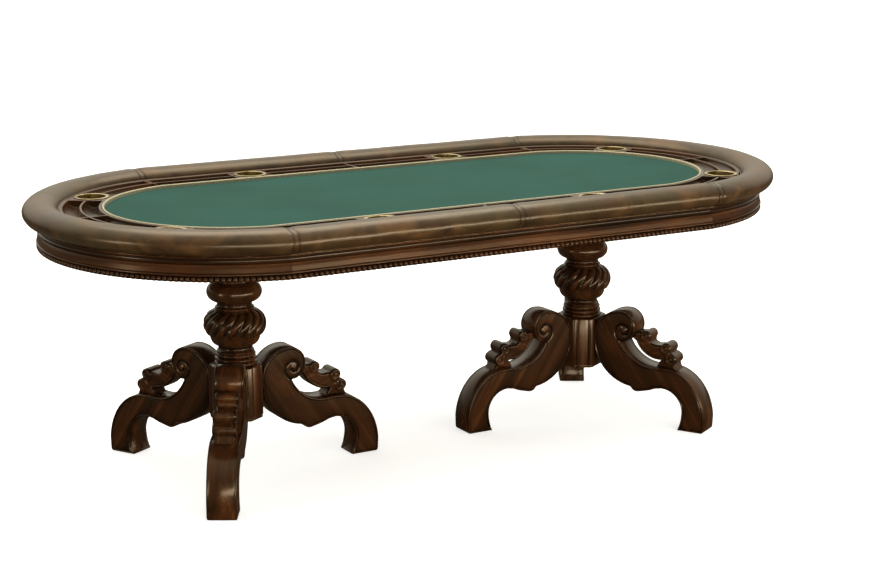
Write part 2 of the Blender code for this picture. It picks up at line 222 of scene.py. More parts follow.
soft_box("overhead", (0.3, 0.9, 3.2), (0.0, 0.0, 0.7), (3.2, 1.8), 70.0)
soft_box("shoulder_line", (0.2, -2.30, 0.44), (0.1, -0.57, 0.75), (5.0, 0.30), 68.0)
soft_box("low_left", (-2.8, -0.4, 0.50), (-0.58, 0.0, 0.50), (0.4, 0.3), 9.0)
soft_box("low_right", (0.9, -3.3, 0.55), (-0.2, 0.0, 0.50), (0.35, 0.35), 11.0)

# %% [markdown]
# ## Mahogany, stained and lacquered
# The carved and turned parts are mahogany: a reddish brown wood with fine straight grain about a
# millimetre wide, stained dark. Shade is painted into the hollows: the deeper a point lies in the
# carving, the darker its colour, which makes the carving read from across a room. Amber lacquer
# goes over it: a soft warm sheen with a thin sharp highlight on top. Each mesh carries two
# attributes for this: one holds a place measured along and across the grain, and the other holds
# the painted shade, from 0 for none to 1 in the deepest hollows.

# %% Mahogany
GRAIN_WIDTH_MM = 2.5  # real pores are under 0.5 mm, too fine to show, so they are drawn coarser
LACQUER_ROUGHNESS = 0.24

mahogany, tree, output = new_material("lacquered_mahogany")
place = add_node(tree, "ShaderNodeAttribute", attribute_name="grain").outputs["Vector"]
painted_shade = add_node(tree, "ShaderNodeAttribute", attribute_name="painted_shade").outputs["Fac"]
stretched = add_node(tree, "ShaderNodeMapping",
                     {"Vector": place, "Scale": (0.05, 1.0, 1.0)}).outputs[0]
pores = noise_at(tree, stretched, 1000.0 / GRAIN_WIDTH_MM, 3.0, Roughness=0.6)
clouds = noise_at(tree, stretched, 26.0, 4.0, Distortion=0.8)
patches = noise_at(tree, place, 9.0, 2.0)
stain = ramp(tree, clouds, (0.30, "#1f130a"), (0.70, "#583319"), (0.50, "#3f2412"))
grained = mixed(tree, 0.24, stain, pores, "OVERLAY")
uneven = remap(tree, patches, 0.35, 0.65, 0.0, 0.45)
toned = mixed(tree, uneven, grained, linear("#1f130a"))
# Painted shade: the hollows are darkened towards near black, as far as the mesh's shade attribute
# says.
painted_shade_wood = mixed(tree, painted_shade, toned, linear("#0c0805"))
gloss = remap(tree, clouds, 0.3, 0.7, LACQUER_ROUGHNESS - 0.05, LACQUER_ROUGHNESS + 0.08)
lacquer = {
    "Specular IOR Level": 0.30,
    "Specular Tint": linear("#ffe3c0"),
    "Coat Weight": 0.12,
    "Coat Roughness": 0.10,
}
finish_with(tree, output, painted_shade_wood, gloss, bumped(tree, pores, 0.12, 0.0006), lacquer)
print("mahogany grain drawn", GRAIN_WIDTH_MM, "mm wide")

# %% [markdown]
# ## Leather, rubbed antique
# The rail is upholstered in full-grain leather that was rubbed by hand with a darker dye: clouds of
# red-brown and olive a hand's width across, so that it looks worn in. Shade is painted on as well:
# the leather is darker beside the seams' cover strips, near the joints and along the roll's lower
# edge. A fine pebbled grain breaks the gloss into a glow. Cow leather's pebbles are about 1 mm
# across.

# %% Leather
PEBBLE_MM = 2.2  # drawn twice as coarse as real pebbles, or they would not show

leather, tree, output = new_material("antiqued_leather")
place = add_node(tree, "ShaderNodeTexCoord").outputs["Object"]
painted_shade = add_node(tree, "ShaderNodeAttribute", attribute_name="painted_shade").outputs["Fac"]
clouds = noise_at(tree, place, 11.0, 6.0, Roughness=0.62, Distortion=0.6)
blotches = noise_at(tree, place, 5.0, 3.0)
hide = ramp(tree, clouds, (0.30, "#20160c"), (0.72, "#5c4025"), (0.50, "#3c2a18"))
rubbed = remap(tree, blotches, 0.48, 0.66, 0.0, 0.75)
mottled = mixed(tree, rubbed, hide, linear("#342e1c"))
# Painted shade: darker along the roll's lower edge, beside the cover strips and near the joints.
painted_shade_leather = mixed(tree, painted_shade, mottled, linear("#1c100a"))
pebbles = add_node(
    tree,
    "ShaderNodeTexVoronoi",
    {"Vector": place, "Scale": 1000.0 / PEBBLE_MM, "Randomness": 1.0},
    feature="SMOOTH_F1",
)
grain = bumped(tree, pebbles.outputs["Distance"], 0.20, 0.0005)
creased = bumped(tree, noise_at(tree, place, 60.0, 4.0), 0.25, 0.0012, Normal=grain)
wax = {
    "Specular IOR Level": 0.45,
    "Specular Tint": linear("#ffecd0"),
    "Coat Weight": 0.08,
    "Coat Roughness": 0.20,
}
finish_with(tree, output, painted_shade_leather, remap(tree, clouds, 0.3, 0.7, 0.27, 0.40), creased, wax)
print("leather pebbles drawn", PEBBLE_MM, "mm across")

# %% [markdown]
# ## Brass, felt, cream bead, thread and board
# The cups are brass, spun on a lathe and left to age: the tool leaves rings half a millimetre
# apart. The flange keeps its pale colour, and the bowl is painted dark as painted shade. The cloth
# is pressed wool felt, which is matt and soft, with a nap that brightens at a glancing view. The
# bead round it is painted cream as a painted highlight, so it draws a quiet line of light and not
# a bright one. The stitches are waxed linen, and the parts nobody sees are birch board and plain
# sawn timber.

# %% Brass
TOOL_MARK_MM = 2.0  # half-millimetre tool rings, drawn coarser so that they show

brass, tree, output = new_material("spun_brass")
place = add_node(tree, "ShaderNodeAttribute", attribute_name="grain").outputs["Vector"]
painted_shade = add_node(tree, "ShaderNodeAttribute", attribute_name="painted_shade").outputs["Fac"]
rings = noise_at(tree, place, 1000.0 / TOOL_MARK_MM, 1.0)
tarnish = noise_at(tree, place, 40.0, 3.0)
# Random tarnish, with painted shade that darkens the bowl towards a near-black brown.
tarnish_and_painted_shade = mixed(tree, painted_shade, ramp(tree, tarnish, (0.3, "#8a774e"), (0.7, "#cfc196")),
             linear("#1d160c"))
gloss = remap(tree, tarnish, 0.3, 0.7, 0.18, 0.32)
finish_with(tree, output, tarnish_and_painted_shade, gloss, bumped(tree, rings, 0.15, 0.0003), {"Metallic": 1.0})
print("brass tool rings drawn", TOOL_MARK_MM, "mm apart")

# %% Felt
FIBRE_MM = 1.6  # wool fibres are 0.03 mm, so only the clumps that they mat into are drawn

felt, tree, output = new_material("pressed_wool_felt")
place = add_node(tree, "ShaderNodeTexCoord").outputs["Object"]
clumps = noise_at(tree, place, 1000.0 / FIBRE_MM, 4.0, Roughness=0.7)
wool = ramp(tree, noise_at(tree, place, 3.0, 3.0), (0.25, "#18413d"), (0.75, "#1f4e49"))
flecked = mixed(tree, 0.22, wool, clumps, "OVERLAY")
nap = {
    "Specular IOR Level": 0.2,
    "Sheen Weight": 0.12,
    "Sheen Roughness": 0.5,
    "Sheen Tint": linear("#7fb8a6"),
}
finish_with(tree, output, flecked, 0.95, bumped(tree, clumps, 0.3, 0.0006), nap)
print("felt clumps drawn", FIBRE_MM, "mm across")


# %% Cream bead, thread and board
def plain_finish(name, low, high, roughness, scale, metallic=0.0, stretch=(1.0, 1.0, 1.0)):
    """A finish of two tones mixed by a stretched noise, which also raises a slight relief."""
    made, tree, output = new_material(name)
    place = add_node(tree, "ShaderNodeTexCoord").outputs["Object"]
    stretched = add_node(tree, "ShaderNodeMapping", {"Vector": place, "Scale": stretch}).outputs[0]
    grain = noise_at(tree, stretched, scale, 5.0)
    tone = ramp(tree, grain, (0.3, low), (0.7, high))
    finish_with(tree, output, tone, roughness, bumped(tree, grain, 0.2, 0.0004),
                {"Metallic": metallic})
    return made


# The bead's pale cream colour is a painted highlight: the line of light along its rounded lip.
painted_highlight_finish = plain_finish("cream_painted_highlight", "#979078", "#c3bda3", 0.40, 300.0, metallic=0.15)
thread = plain_finish("waxed_linen_thread", "#4a3822", "#7a6242", 0.6, 900.0)
birch = plain_finish("sanded_birch_board", "#b08a5c", "#cda878", 0.6, 90.0,
                     stretch=(0.08, 1.0, 1.0))
pine = plain_finish("sawn_pine_batten", "#a67c4b", "#c69c68", 0.7, 120.0, stretch=(1.0, 0.06, 1.0))
print("materials:", sorted(m.name for m in bpy.data.materials))

# %% [markdown]
# ## The plan of the rim
# Seen from above, every part of the top follows one outline: two straight sides, and two ends that
# are arcs of a circle a little wider than the table is. The lesson reads that outline from the
# leather's boxes, so nothing is typed twice. An "inset" is the distance in from the outer edge.

# %% Rim outline
JOINT = 0.00015  # half the hairline gap between two neighbouring pieces

pad_low, pad_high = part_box("rail_pad_front_right")
HALF_WIDTH = -pad_low.y
SEAM_X = pad_high.x + JOINT
END_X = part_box("rail_pad_right_end")[1].x
END_CENTRE_X = (END_X**2 - SEAM_X**2 - HALF_WIDTH**2) / (2.0 * (END_X - SEAM_X))
END_RADIUS = END_X - END_CENTRE_X


def rim_corner(inset):
    """The angle at which the end's arc meets the straight side, at this inset."""
    return math.asin((HALF_WIDTH - inset) / (END_RADIUS - inset))


def rim_reach(inset, side):
    """From the middle of a side or an end, along the rim, to the seam between them."""
    radius = END_RADIUS - inset
    if side in ("front", "back"):
        return END_CENTRE_X + radius * math.cos(rim_corner(inset))
    return radius * rim_corner(inset)


def rim_point(inset, z, side, along, measured_at=None):
    """The point at this inset and height, a signed distance from the middle of the side or end."""
    if side in ("front", "back"):
        sign = 1.0 if side == "back" else -1.0
        return along, sign * (HALF_WIDTH - inset), z
    sign = 1.0 if side == "right" else -1.0
    angle = along / (END_RADIUS - (inset if measured_at is None else measured_at))
    radius = END_RADIUS - inset
    return sign * (END_CENTRE_X + radius * math.cos(angle)), radius * math.sin(angle), z


print("rim:", round(HALF_WIDTH, 4), round(SEAM_X, 4), round(END_CENTRE_X, 4), round(END_RADIUS, 4))


# %% [markdown]
# ## From rings of points to a piece
# Most of the top is a cross-section carried along the rim, as a moulding is run through a spindle
# moulder. A function joins ring after ring of points into a skin and closes its two ends. A second
# one puts the finished mesh in the scene, lets it ride on its body and hides the engineered nodes
# it stands for.

# %% Skin and show
def arc(centre, radii, start, end, steps):
    """Points of an elliptical arc from start to end, in degrees."""
    points = []
    for i in range(steps + 1):
        angle = math.radians(start + (end - start) * i / steps)
        points.append((centre[0] + radii[0] * math.cos(angle),
                       centre[1] + radii[1] * math.sin(angle)))
    return points


def finish_mesh(mesh, grain, painted_shade, sharp):
    """Faces outward, smooth shading with true edges kept, and the finishes' two attributes."""
    bm = bmesh.new()
    bm.from_mesh(mesh)
    bmesh.ops.recalc_face_normals(bm, faces=bm.faces)
    bm.to_mesh(mesh)
    bm.free()
    mesh.shade_smooth()
    mesh.set_sharp_from_angle(angle=math.radians(sharp))
    held = mesh.attributes.new("grain", "FLOAT_VECTOR", "POINT")
    held.data.foreach_set("vector", np.asarray(grain, np.float32).ravel())
    # The second attribute is painted shade: how much darker each point is painted, from 0 to 1.
    held = mesh.attributes.new("painted_shade", "FLOAT", "POINT")
    held.data.foreach_set("value", np.clip(np.asarray(painted_shade, np.float32), 0.0, 1.0))
    return mesh


def skin(name, rings, grain=None, painted_shade=None, loop=False, sharp=40.0):
    """Rings of points joined one after another, closed on themselves or capped at both ends."""
    points = [point for ring in rings for point in ring]
    around, count = len(rings[0]), len(rings)
    faces = []
    for i in range(count if loop else count - 1):
        here, there = i * around, (i + 1) % count * around
        for j in range(around):
            k = (j + 1) % around
            faces.append((here + j, here + k, there + k, there + j))
    if not loop:
        faces.append(tuple(range(around)))
        faces.append(tuple(range((count - 1) * around, count * around)))
    mesh = bpy.data.meshes.new(name)
    mesh.from_pydata(points, [], faces)
    flat_grain = points if grain is None else [point for ring in grain for point in ring]
    flat_painted_shade = [0.0] * len(points) if painted_shade is None else [x for ring in painted_shade for x in ring]
    return finish_mesh(mesh, flat_grain, flat_painted_shade, sharp)


def show(name, mesh, material, stands_for=(), body="table", place=(0.0, 0.0, 0.0), turn=0.0):
    """Puts a piece in the scene and on its body, and hides the engineered nodes it stands for."""
    if not mesh.materials:
        mesh.materials.append(material)
    made = bpy.data.objects.new(name, mesh)
    made.location = place
    made.rotation_euler = (0.0, 0.0, turn)
    bpy.context.scene.collection.objects.link(made)
    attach(made, body)
    if stands_for:
        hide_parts(*stands_for)
    return made


print("a quarter arc:", [tuple(round(x, 3) for x in p) for p in arc((0, 0), (1, 1), 0, 90, 2)])

# %% [markdown]
# ## The leather rail
# Six rolls of leather over foam run round the table, pulled down over a wooden core. A cover strip
# lies over each joint, and the roll sinks towards it because the stitching pulls the foam in. The
# roll is an oval section carried along the rim, and then worked like clay: down at the seams, a
# slight swell next to them, short puckers that fade away, and the slow waviness of a hand-stuffed
# rail. A cloth simulation would round the sharp undercut where the leather is tacked to the core,
# so the shape is worked directly.

# %% Rail roll
ROLL_DROP = 0.0018
STRIP_HALF = 0.0065
ROLL_STEPS = 40
CORE_LOW, CORE_HIGH = 0.0357, 0.0603

apron_low, apron_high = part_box("apron_front")
roll_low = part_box("rail_core_front")[0].z + 0.0001
roll_high = pad_high.z
roll_middle = (apron_high.z + roll_high) / 2.0
ROLL_RADII = ((pad_high.y - pad_low.y) / 2.0, roll_high - roll_middle)
core_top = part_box("rail_core_front")[1].z + 2.0 * JOINT


def smooth_step(start, end, value):
    """Rises gently from 0 at start to 1 at end, which may lie below start."""
    share = min(1.0, max(0.0, (value - start) / (end - start)))
    return share * share * (3.0 - 2.0 * share)


def roll_depth(from_seam, degrees, seed):
    """How far the leather lies below the plain oval, at a distance from the seam."""
    upper = max(0.0, math.sin(math.radians(degrees)))
    drop = ROLL_DROP * (1.0 - smooth_step(STRIP_HALF, 0.0125, from_seam))
    drop += 0.0014 * upper * math.exp(-((from_seam / 0.020) ** 2))
    swell = 0.0005 * math.exp(-(((from_seam - 0.026) / 0.014) ** 2))
    pucker = 0.0006 * math.exp(-(((from_seam - 0.016) / 0.016) ** 2))
    pucker *= noise.noise((degrees / 9.0, from_seam * 30.0, seed))
    slow = 0.0007 * noise.noise((degrees / 70.0, from_seam * 9.0, seed + 5.0))
    slow += 0.0003 * noise.noise((degrees / 25.0, from_seam * 28.0, seed + 9.0))
    fade = smooth_step(0.010, 0.040, from_seam)
    return max(0.0, drop - swell + pucker + (slow + 0.0004) * fade)


def roll_point(degrees, depth):
    """The roll's (inset, z) at an angle round its section, this far below the oval."""
    angle = math.radians(degrees)
    across, up = ROLL_RADII[0] - depth, ROLL_RADII[1] - depth
    return ROLL_RADII[0] + across * math.cos(angle), roll_middle + up * math.sin(angle)


def seam_distances(length):
    """Distances along a roll, close together near the seams."""
    near = [0.0, 0.002, 0.004, 0.0055, 0.0065, 0.0075, 0.0088]
    near += [0.0102, 0.0118, 0.0138, 0.016, 0.019, 0.023]
    far = list(np.arange(0.028, length - 0.028, 0.007))
    return near + far + [length - x for x in reversed(near)]


def make_roll(side, half, stands_for, seed):
    """One stuffed roll: half is -1 or 1 for half of a long side, and 0 for a whole end."""
    degrees = [-68.0 + 316.0 * i / ROLL_STEPS for i in range(ROLL_STEPS + 1)]
    centre_reach = rim_reach(ROLL_RADII[0], side)
    length = centre_reach - JOINT if half else 2.0 * (centre_reach - JOINT)
    rings, painted_shade = [], []
    for walked in seam_distances(length):
        share = walked / length
        from_seam = min(walked, length - walked)
        ring, dark = [], []
        for angle in degrees:
            depth = roll_depth(from_seam, angle, seed + (3.0 if share > 0.5 else 0.0))
            inset, z = roll_point(angle, depth)
            ring.append((inset, z))
            # Painted shade: the lower edge, the groove beside the cover strip and the dip near the
            # joint are painted darker.
            low_edge = smooth_step(roll_low + 0.018, roll_low, z)
            beside_strip = 0.85 * math.exp(-(((from_seam - 0.0085) / 0.0022) ** 2))
            near_joint = 0.35 * math.exp(-((from_seam / 0.025) ** 2))
            dark.append(max(0.45 * low_edge, beside_strip, near_joint))
        notch = [(CORE_LOW, roll_low), (CORE_LOW, core_top)]
        notch += [(CORE_HIGH, core_top), (CORE_HIGH, roll_low)]
        placed = []
        for inset, z in ring + notch:
            reach = rim_reach(inset, side) - JOINT
            along = (half * (JOINT + (reach - JOINT) * share) if half
                     else reach * (2.0 * share - 1.0))
            placed.append(rim_point(inset, z, side, along))
        rings.append(placed)
        painted_shade.append(dark + [1.0] * 4)
    name = stands_for.replace("rail_pad", "leather_roll")
    mesh = skin(name, rings, painted_shade=painted_shade, sharp=60.0)
    made = show(name, mesh, leather, [stands_for])
    return made


seed = 1.0
for side in ("front", "back"):
    make_roll(side, -1, f"rail_pad_{side}_left", seed)
    make_roll(side, 1, f"rail_pad_{side}_right", seed + 11.0)
    seed += 31.0
for side in ("left", "right"):
    make_roll(side, 0, f"rail_pad_{side}_end", seed)
    seed += 31.0

# %% [markdown]
# ### Cover strips, stitches and welt
# A strip of the same leather 13 mm wide covers each joint and is sewn down along both edges, with
# a thread end every 5 mm. At the inner foot of the roll a welt, which is a cord wrapped in leather,
# hides the tacks. Strip and welt are short sections carried along a path, and each stitch is
# a small spindle.

# %% Seam strips, stitches and welt
STITCH_LENGTH = 0.0036
STITCH_PITCH = 0.0052
WELT_RADIUS = 0.0021
WELT_INSET = 0.0958

seams = {
    "front_middle": (("front", -1, 0.0), ("front", 1, 0.0)),
    "back_middle": (("back", -1, 0.0), ("back", 1, 0.0)),
    "front_left": (("left", -1, None), ("front", -1, None)),
    "front_right": (("front", 1, None), ("right", -1, None)),
    "back_left": (("left", 1, None), ("back", -1, None)),
    "back_right": (("back", 1, None), ("right", 1, None)),
}


def seam_point(seam, off, degrees, lift):
    """A point across a seam: off is its signed distance from the joint, lift its height above."""
    side, half, _ = seam[0] if off < 0 else seam[1]
    sunk = 0.0014 * max(0.0, math.sin(math.radians(degrees)))
    inset, z = roll_point(degrees, ROLL_DROP + sunk - lift)
    if seam[0][2] is None:
        along = half * (rim_reach(inset, side) - abs(off))
    else:
        along = half * abs(off)
    return rim_point(inset, z, side, along)


def make_strip(name, seam):
    """The cover strip over one joint, as a low section of (off, lift) carried over the roll."""
    section = [(-0.0065, -0.0004), (-0.0064, 0.0005), (-0.0055, 0.0010), (-0.0015, 0.0013)]
    section.append((-0.0002, 0.0013))
    section += [(-off, lift) for off, lift in reversed(section)]
    rings = []
    dark = []
    for i in range(61):
        degrees = -66.0 + 312.0 * i / 60.0
        rings.append([seam_point(seam, off, degrees, lift) for off, lift in section])
        # Painted shade: the strip is painted a little darker, and darker at its edges where it
        # meets the roll.
        dark.append([0.55 if abs(off) > 0.005 else 0.22 for off, _ in section])
    show(f"seam_strip_{name}", skin(f"seam_strip_{name}", rings, painted_shade=dark), leather)


def make_stitches(name, seam):
    """Both rows of stitches along one joint, in one mesh."""
    points, faces = [], []
    roll_length = math.pi * (ROLL_RADII[0] + ROLL_RADII[1]) * 290.0 / 360.0
    count = int(roll_length / STITCH_PITCH)
    for off in (-0.0046, 0.0046):
        for i in range(count):
            middle = -60.0 + 300.0 * (i + 0.5) / count
            half_turn = 150.0 / count * STITCH_LENGTH / STITCH_PITCH
            low = seam_point(seam, off, middle - half_turn, 0.0009)
            high = seam_point(seam, off, middle + half_turn, 0.0009)
            start = len(points)
            centre = (Vector(low) + Vector(high)) / 2.0
            top = Vector(seam_point(seam, off, middle, 0.0018))
            side = Vector(seam_point(seam, off + 0.0005, middle, 0.0011))
            across = side - Vector(seam_point(seam, off - 0.0005, middle, 0.0011))
            points += [low, high, tuple(top), tuple(centre + across * 0.5)]
            points += [tuple(centre - across * 0.5), tuple(centre * 2.0 - top)]
            for a, b in ((2, 3), (3, 5), (5, 4), (4, 2)):
                faces.append((start, start + a, start + b))
                faces.append((start + 1, start + b, start + a))
    mesh = bpy.data.meshes.new(f"seam_stitches_{name}")
    mesh.from_pydata(points, [], faces)
    finish_mesh(mesh, points, [0.0] * len(points), 80.0)
    show(f"seam_stitches_{name}", mesh, thread)


def whole_rim(inset, z, steps):
    """Points once round the rim at this inset, anticlockwise from the middle of the front."""
    reach = rim_reach(inset, "front")
    bend = rim_reach(inset, "right")
    half = [i / steps for i in range(steps)]
    full = [2.0 * i / (2 * steps) - 1.0 for i in range(2 * steps)]
    path = [rim_point(inset, z, "front", reach * share) for share in half]
    path += [rim_point(inset, z, "right", bend * share) for share in full]
    path += [rim_point(inset, z, "back", reach * (1.0 - i / steps)) for i in range(2 * steps)]
    path += [rim_point(inset, z, "left", -bend * share) for share in full]
    path += [rim_point(inset, z, "front", -reach * (1.0 - share)) for share in half]
    return path


def rim_band(name, section, steps, material, stands_for=(), painted_shade=None):
    """A section of (inset, z) points carried once round the rim."""
    lines = [whole_rim(inset, z, steps) for inset, z in section]
    rings = [[line[i] for line in lines] for i in range(len(lines[0]))]
    walked = [i * 0.01 for i in range(len(rings))]
    grain = [[(walked[i], inset, z) for inset, z in section] for i in range(len(rings))]
    dark = None if painted_shade is None else [list(painted_shade) for _ in rings]
    return show(name, skin(name, rings, grain, dark, loop=True), material, stands_for)


for name, seam in seams.items():
    make_strip(name, seam)
    make_stitches(name, seam)
ring_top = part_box("chip_rail_front_left")[1].z
welt = arc((WELT_INSET, ring_top - 0.0012), (WELT_RADIUS, WELT_RADIUS), 0.0, 324.0, 9)
rim_band("rail_welt", welt, 40, leather)
print("seams:", sorted(seams))

# %% [markdown]
# ## Apron and beading
# Under the leather a mahogany apron carries a run moulding: a small fillet, a cove, a frieze that
# leans out as it falls, a groove and a second fillet. Below it runs a strip of carved beads, each
# an egg shape 15 mm wide standing in a gap. Shade is painted into the cove, the groove and the
# gaps. Both are sections carried along the rim; for the beads the section swells and shrinks once
# in each pitch.

# %% Apron
bead_low, bead_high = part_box("beading_front")
APRON_OUT = HALF_WIDTH + apron_low.y
APRON_IN = HALF_WIDTH + apron_high.y
BEAD_DEPTH = bead_high.y - bead_low.y
BEAD_PITCH = 0.0150


def apron_section(_share):
    """Points of (inset, z, painted shade) from the inner foot, over the top and down the moulded
    face.
    """
    out, top = APRON_OUT, apron_high.z
    rebate = out + BEAD_DEPTH + 2.0 * JOINT
    cove = arc((out + 0.0035, top - 0.0125), (0.0080, 0.0078), 88.0, -88.0, 14)
    points = [(APRON_IN, apron_low.z, 0.3), (APRON_IN, top, 0.3), (out + 0.0040, top, 0.5)]
    fillet = arc((out + 0.0035, top - 0.0021), (0.0026, 0.0021), 90.0, 270.0, 6)
    points += [(x, z, 0.0) for x, z in fillet]
    points += [(x, z, 0.75 * max(0.0, math.sin(math.pi * i / 14.0)))
               for i, (x, z) in enumerate(cove)]
    points += [(out + 0.0056, top - 0.0208, 0.1), (out + 0.0050, top - 0.0216, 0.0)]
    points += [(out + 0.0036, top - 0.0310, 0.0), (out + 0.0020, top - 0.0412, 0.0)]
    points += [(out + 0.0032, top - 0.0426, 0.9)]
    fillet = arc((out + 0.0024, top - 0.0460), (0.0024, 0.0027), 95.0, 265.0, 8)
    points += [(x, z, 0.0) for x, z in fillet]
    points += [(rebate, bead_high.z + 2.0 * JOINT, 1.0), (rebate, apron_low.z, 1.0)]
    return points


def rim_run(name, section_at, walks, side, stands_for, sharp=40.0):
    """Sections carried along a whole side or end. A walk is a share of the way, from 0 to 1."""
    rings, grain, painted_shade = [], [], []
    for share in walks:
        ring, local, dark = [], [], []
        for inset, z, depth in section_at(share):
            along = (rim_reach(inset, side) - JOINT) * (2.0 * share - 1.0)
            ring.append(rim_point(inset, z, side, along))
            local.append((along, inset, z))
            dark.append(depth)
        rings.append(ring)
        grain.append(local)
        painted_shade.append(dark)
    mesh = skin(name, rings, grain, painted_shade, sharp=sharp)
    return show(name, mesh, mahogany, [stands_for])


def bead_section(swell):
    """The carved strip's section, where swell goes from 0 in a gap to 1 on a bead's crown."""
    back = APRON_OUT + BEAD_DEPTH
    middle = (bead_low.z + bead_high.z) / 2.0
    half_high = (bead_high.z - bead_low.z) / 2.0
    proud = 0.0035 + (BEAD_DEPTH - 0.0035) * swell
    tall = half_high * (0.80 + 0.20 * swell)
    points = [(back, bead_low.z + 0.0008, 1.0), (back, bead_high.z - 0.0002, 1.0)]
    for i in range(9):
        angle = math.radians(100.0 + 160.0 * i / 8)
        depth = proud * -math.cos(angle)
        # Painted shade: darker in the gaps between beads and towards each bead's top and bottom,
        # lightest on its crown.
        dark = 1.0 - swell * abs(math.cos(angle))
        points.append((back - depth, middle + tall * math.sin(angle), dark))
    return points


for side in ("front", "back", "left", "right"):
    straight = side in ("front", "back")
    steps = 8 if straight else 72
    walks = [i / steps for i in range(steps + 1)]
    rim_run(f"moulded_apron_{side}", apron_section, walks, side, f"apron_{side}")
    beads = round(2.0 * rim_reach(APRON_OUT, side) / BEAD_PITCH)
    across = [-1.0, -0.93, -0.78, -0.50, 0.0, 0.50, 0.78, 0.93]
    walks = [(i + (q + 1.0) / 2.0) / beads for i in range(beads) for q in across] + [1.0]

    def bead_at(share, count=beads):
        part = (share * count) % 1.0
        return bead_section(math.sqrt(max(0.0, 1.0 - (2.0 * part - 1.0) ** 2)))

    rim_run(f"carved_beading_{side}", bead_at, walks, side, f"beading_{side}", sharp=70.0)
    print(side, "has", beads, "beads")

# %% [markdown]
# ## Chip rail
# Inside the leather lies a mahogany ring with two rows of half-round troughs for chips, cut by
# a core-box cutter, and a round hole for each cup. The section of the ring is carried along it, and
# the troughs sink in over a few millimetres at each end, which gives clean end walls with eased
# edges. The cup holes are then bored with a Boolean, as they are on the real piece.

# %% Chip rail
CUP_INSET = HALF_WIDTH + sum(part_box("cup_holder_front_left"), Vector()).y / 2.0
side_cup = sum(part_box("cup_holder_front_right"), Vector()) / 2.0
end_cup = sum(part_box("cup_holder_right_back"), Vector()) / 2.0
end_turn = math.atan2(end_cup.y, end_cup.x - END_CENTRE_X)
CUP_ALONG = {"front": side_cup.x, "back": side_cup.x}
CUP_ALONG["left"] = CUP_ALONG["right"] = end_turn * (END_RADIUS - CUP_INSET)
CUP_HOLE_RADIUS = 0.0425
TROUGH_INSETS = (0.1295, 0.1805)
TROUGH_HALF = 0.0225
TROUGH_DEPTH = 0.020
TROUGH_TO_CUP = 0.056
DIVIDER_HALF = 0.004
EASED = 0.0012

rail_low, rail_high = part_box("chip_rail_front_left")
RAIL_OUT = HALF_WIDTH + rail_low.y
RAIL_IN = HALF_WIDTH + rail_high.y


def chip_section(sunk):
    """The ring's section with its troughs sunk by a share of their depth, as (inset, z, painted
    shade).
    """
    top = rail_high.z
    points = [(RAIL_OUT, rail_low.z, 0.6), (RAIL_OUT, top - 0.0014, 0.6)]
    lip = arc((RAIL_OUT + 0.0022, top - 0.0006), (0.0022, 0.0016), 180.0, 20.0, 6)
    points += [(x, z, 0.0) for x, z in lip]
    points.append((RAIL_OUT + 0.0054, top - 0.0004, 0.6))
    for inset in TROUGH_INSETS:
        edge = inset - TROUGH_HALF
        points.append((edge - 0.0016, top, 0.0))
        points.append((edge - 0.0004, top - 0.0003 * sunk, 0.0))
        for i in range(17):
            angle = math.pi * i / 16.0
            depth = TROUGH_DEPTH * math.sin(angle) ** 0.9 + 0.0014
            # Painted shade, deepest at the trough's bottom; the side walls are painted dark as
            # well.
            dark = 0.55 * math.sin(angle) * sunk
            across = (TROUGH_HALF - 0.0002) * math.cos(angle)
            points.append((inset - across, top - depth * sunk, dark))
        points.append((inset + TROUGH_HALF + 0.0004, top - 0.0003 * sunk, 0.0))
        points.append((inset + TROUGH_HALF + 0.0016, top, 0.0))
    points += [(RAIL_IN - 0.0024, top, 0.0), (RAIL_IN - 0.0006, top - 0.0006, 0.1)]
    points += [(RAIL_IN, top - 0.002, 0.4), (RAIL_IN, rail_low.z, 0.6)]
    return points


def trough_spans(side):
    """Where the troughs start and end on each side of a cup, measured from the middle."""
    cup = CUP_ALONG[side]
    seam = rim_reach(CUP_INSET, side)
    return [(DIVIDER_HALF, cup - TROUGH_TO_CUP), (cup + TROUGH_TO_CUP, seam - DIVIDER_HALF)]


def chip_stations(side):
    """(distance along, share sunk) from the middle of a side or end to its seam."""
    stations = [(JOINT, 0.0)]
    walls = [(-EASED, 0.0), (-0.0003, 0.03), (0.0, 0.12), (0.0004, 0.70)]
    walls += [(0.0014, 0.86), (0.0030, 0.95), (0.0055, 1.0)]
    for start, end in trough_spans(side):
        stations += [(start + x, share) for x, share in walls]
        inner = np.arange(start + 0.012, end - 0.010, 0.010)
        stations += [(float(x), 1.0) for x in inner]
        stations += [(end - x, share) for x, share in reversed(walls)]
    stations.append((rim_reach(CUP_INSET, side) + 0.01, 0.0))
    return stations


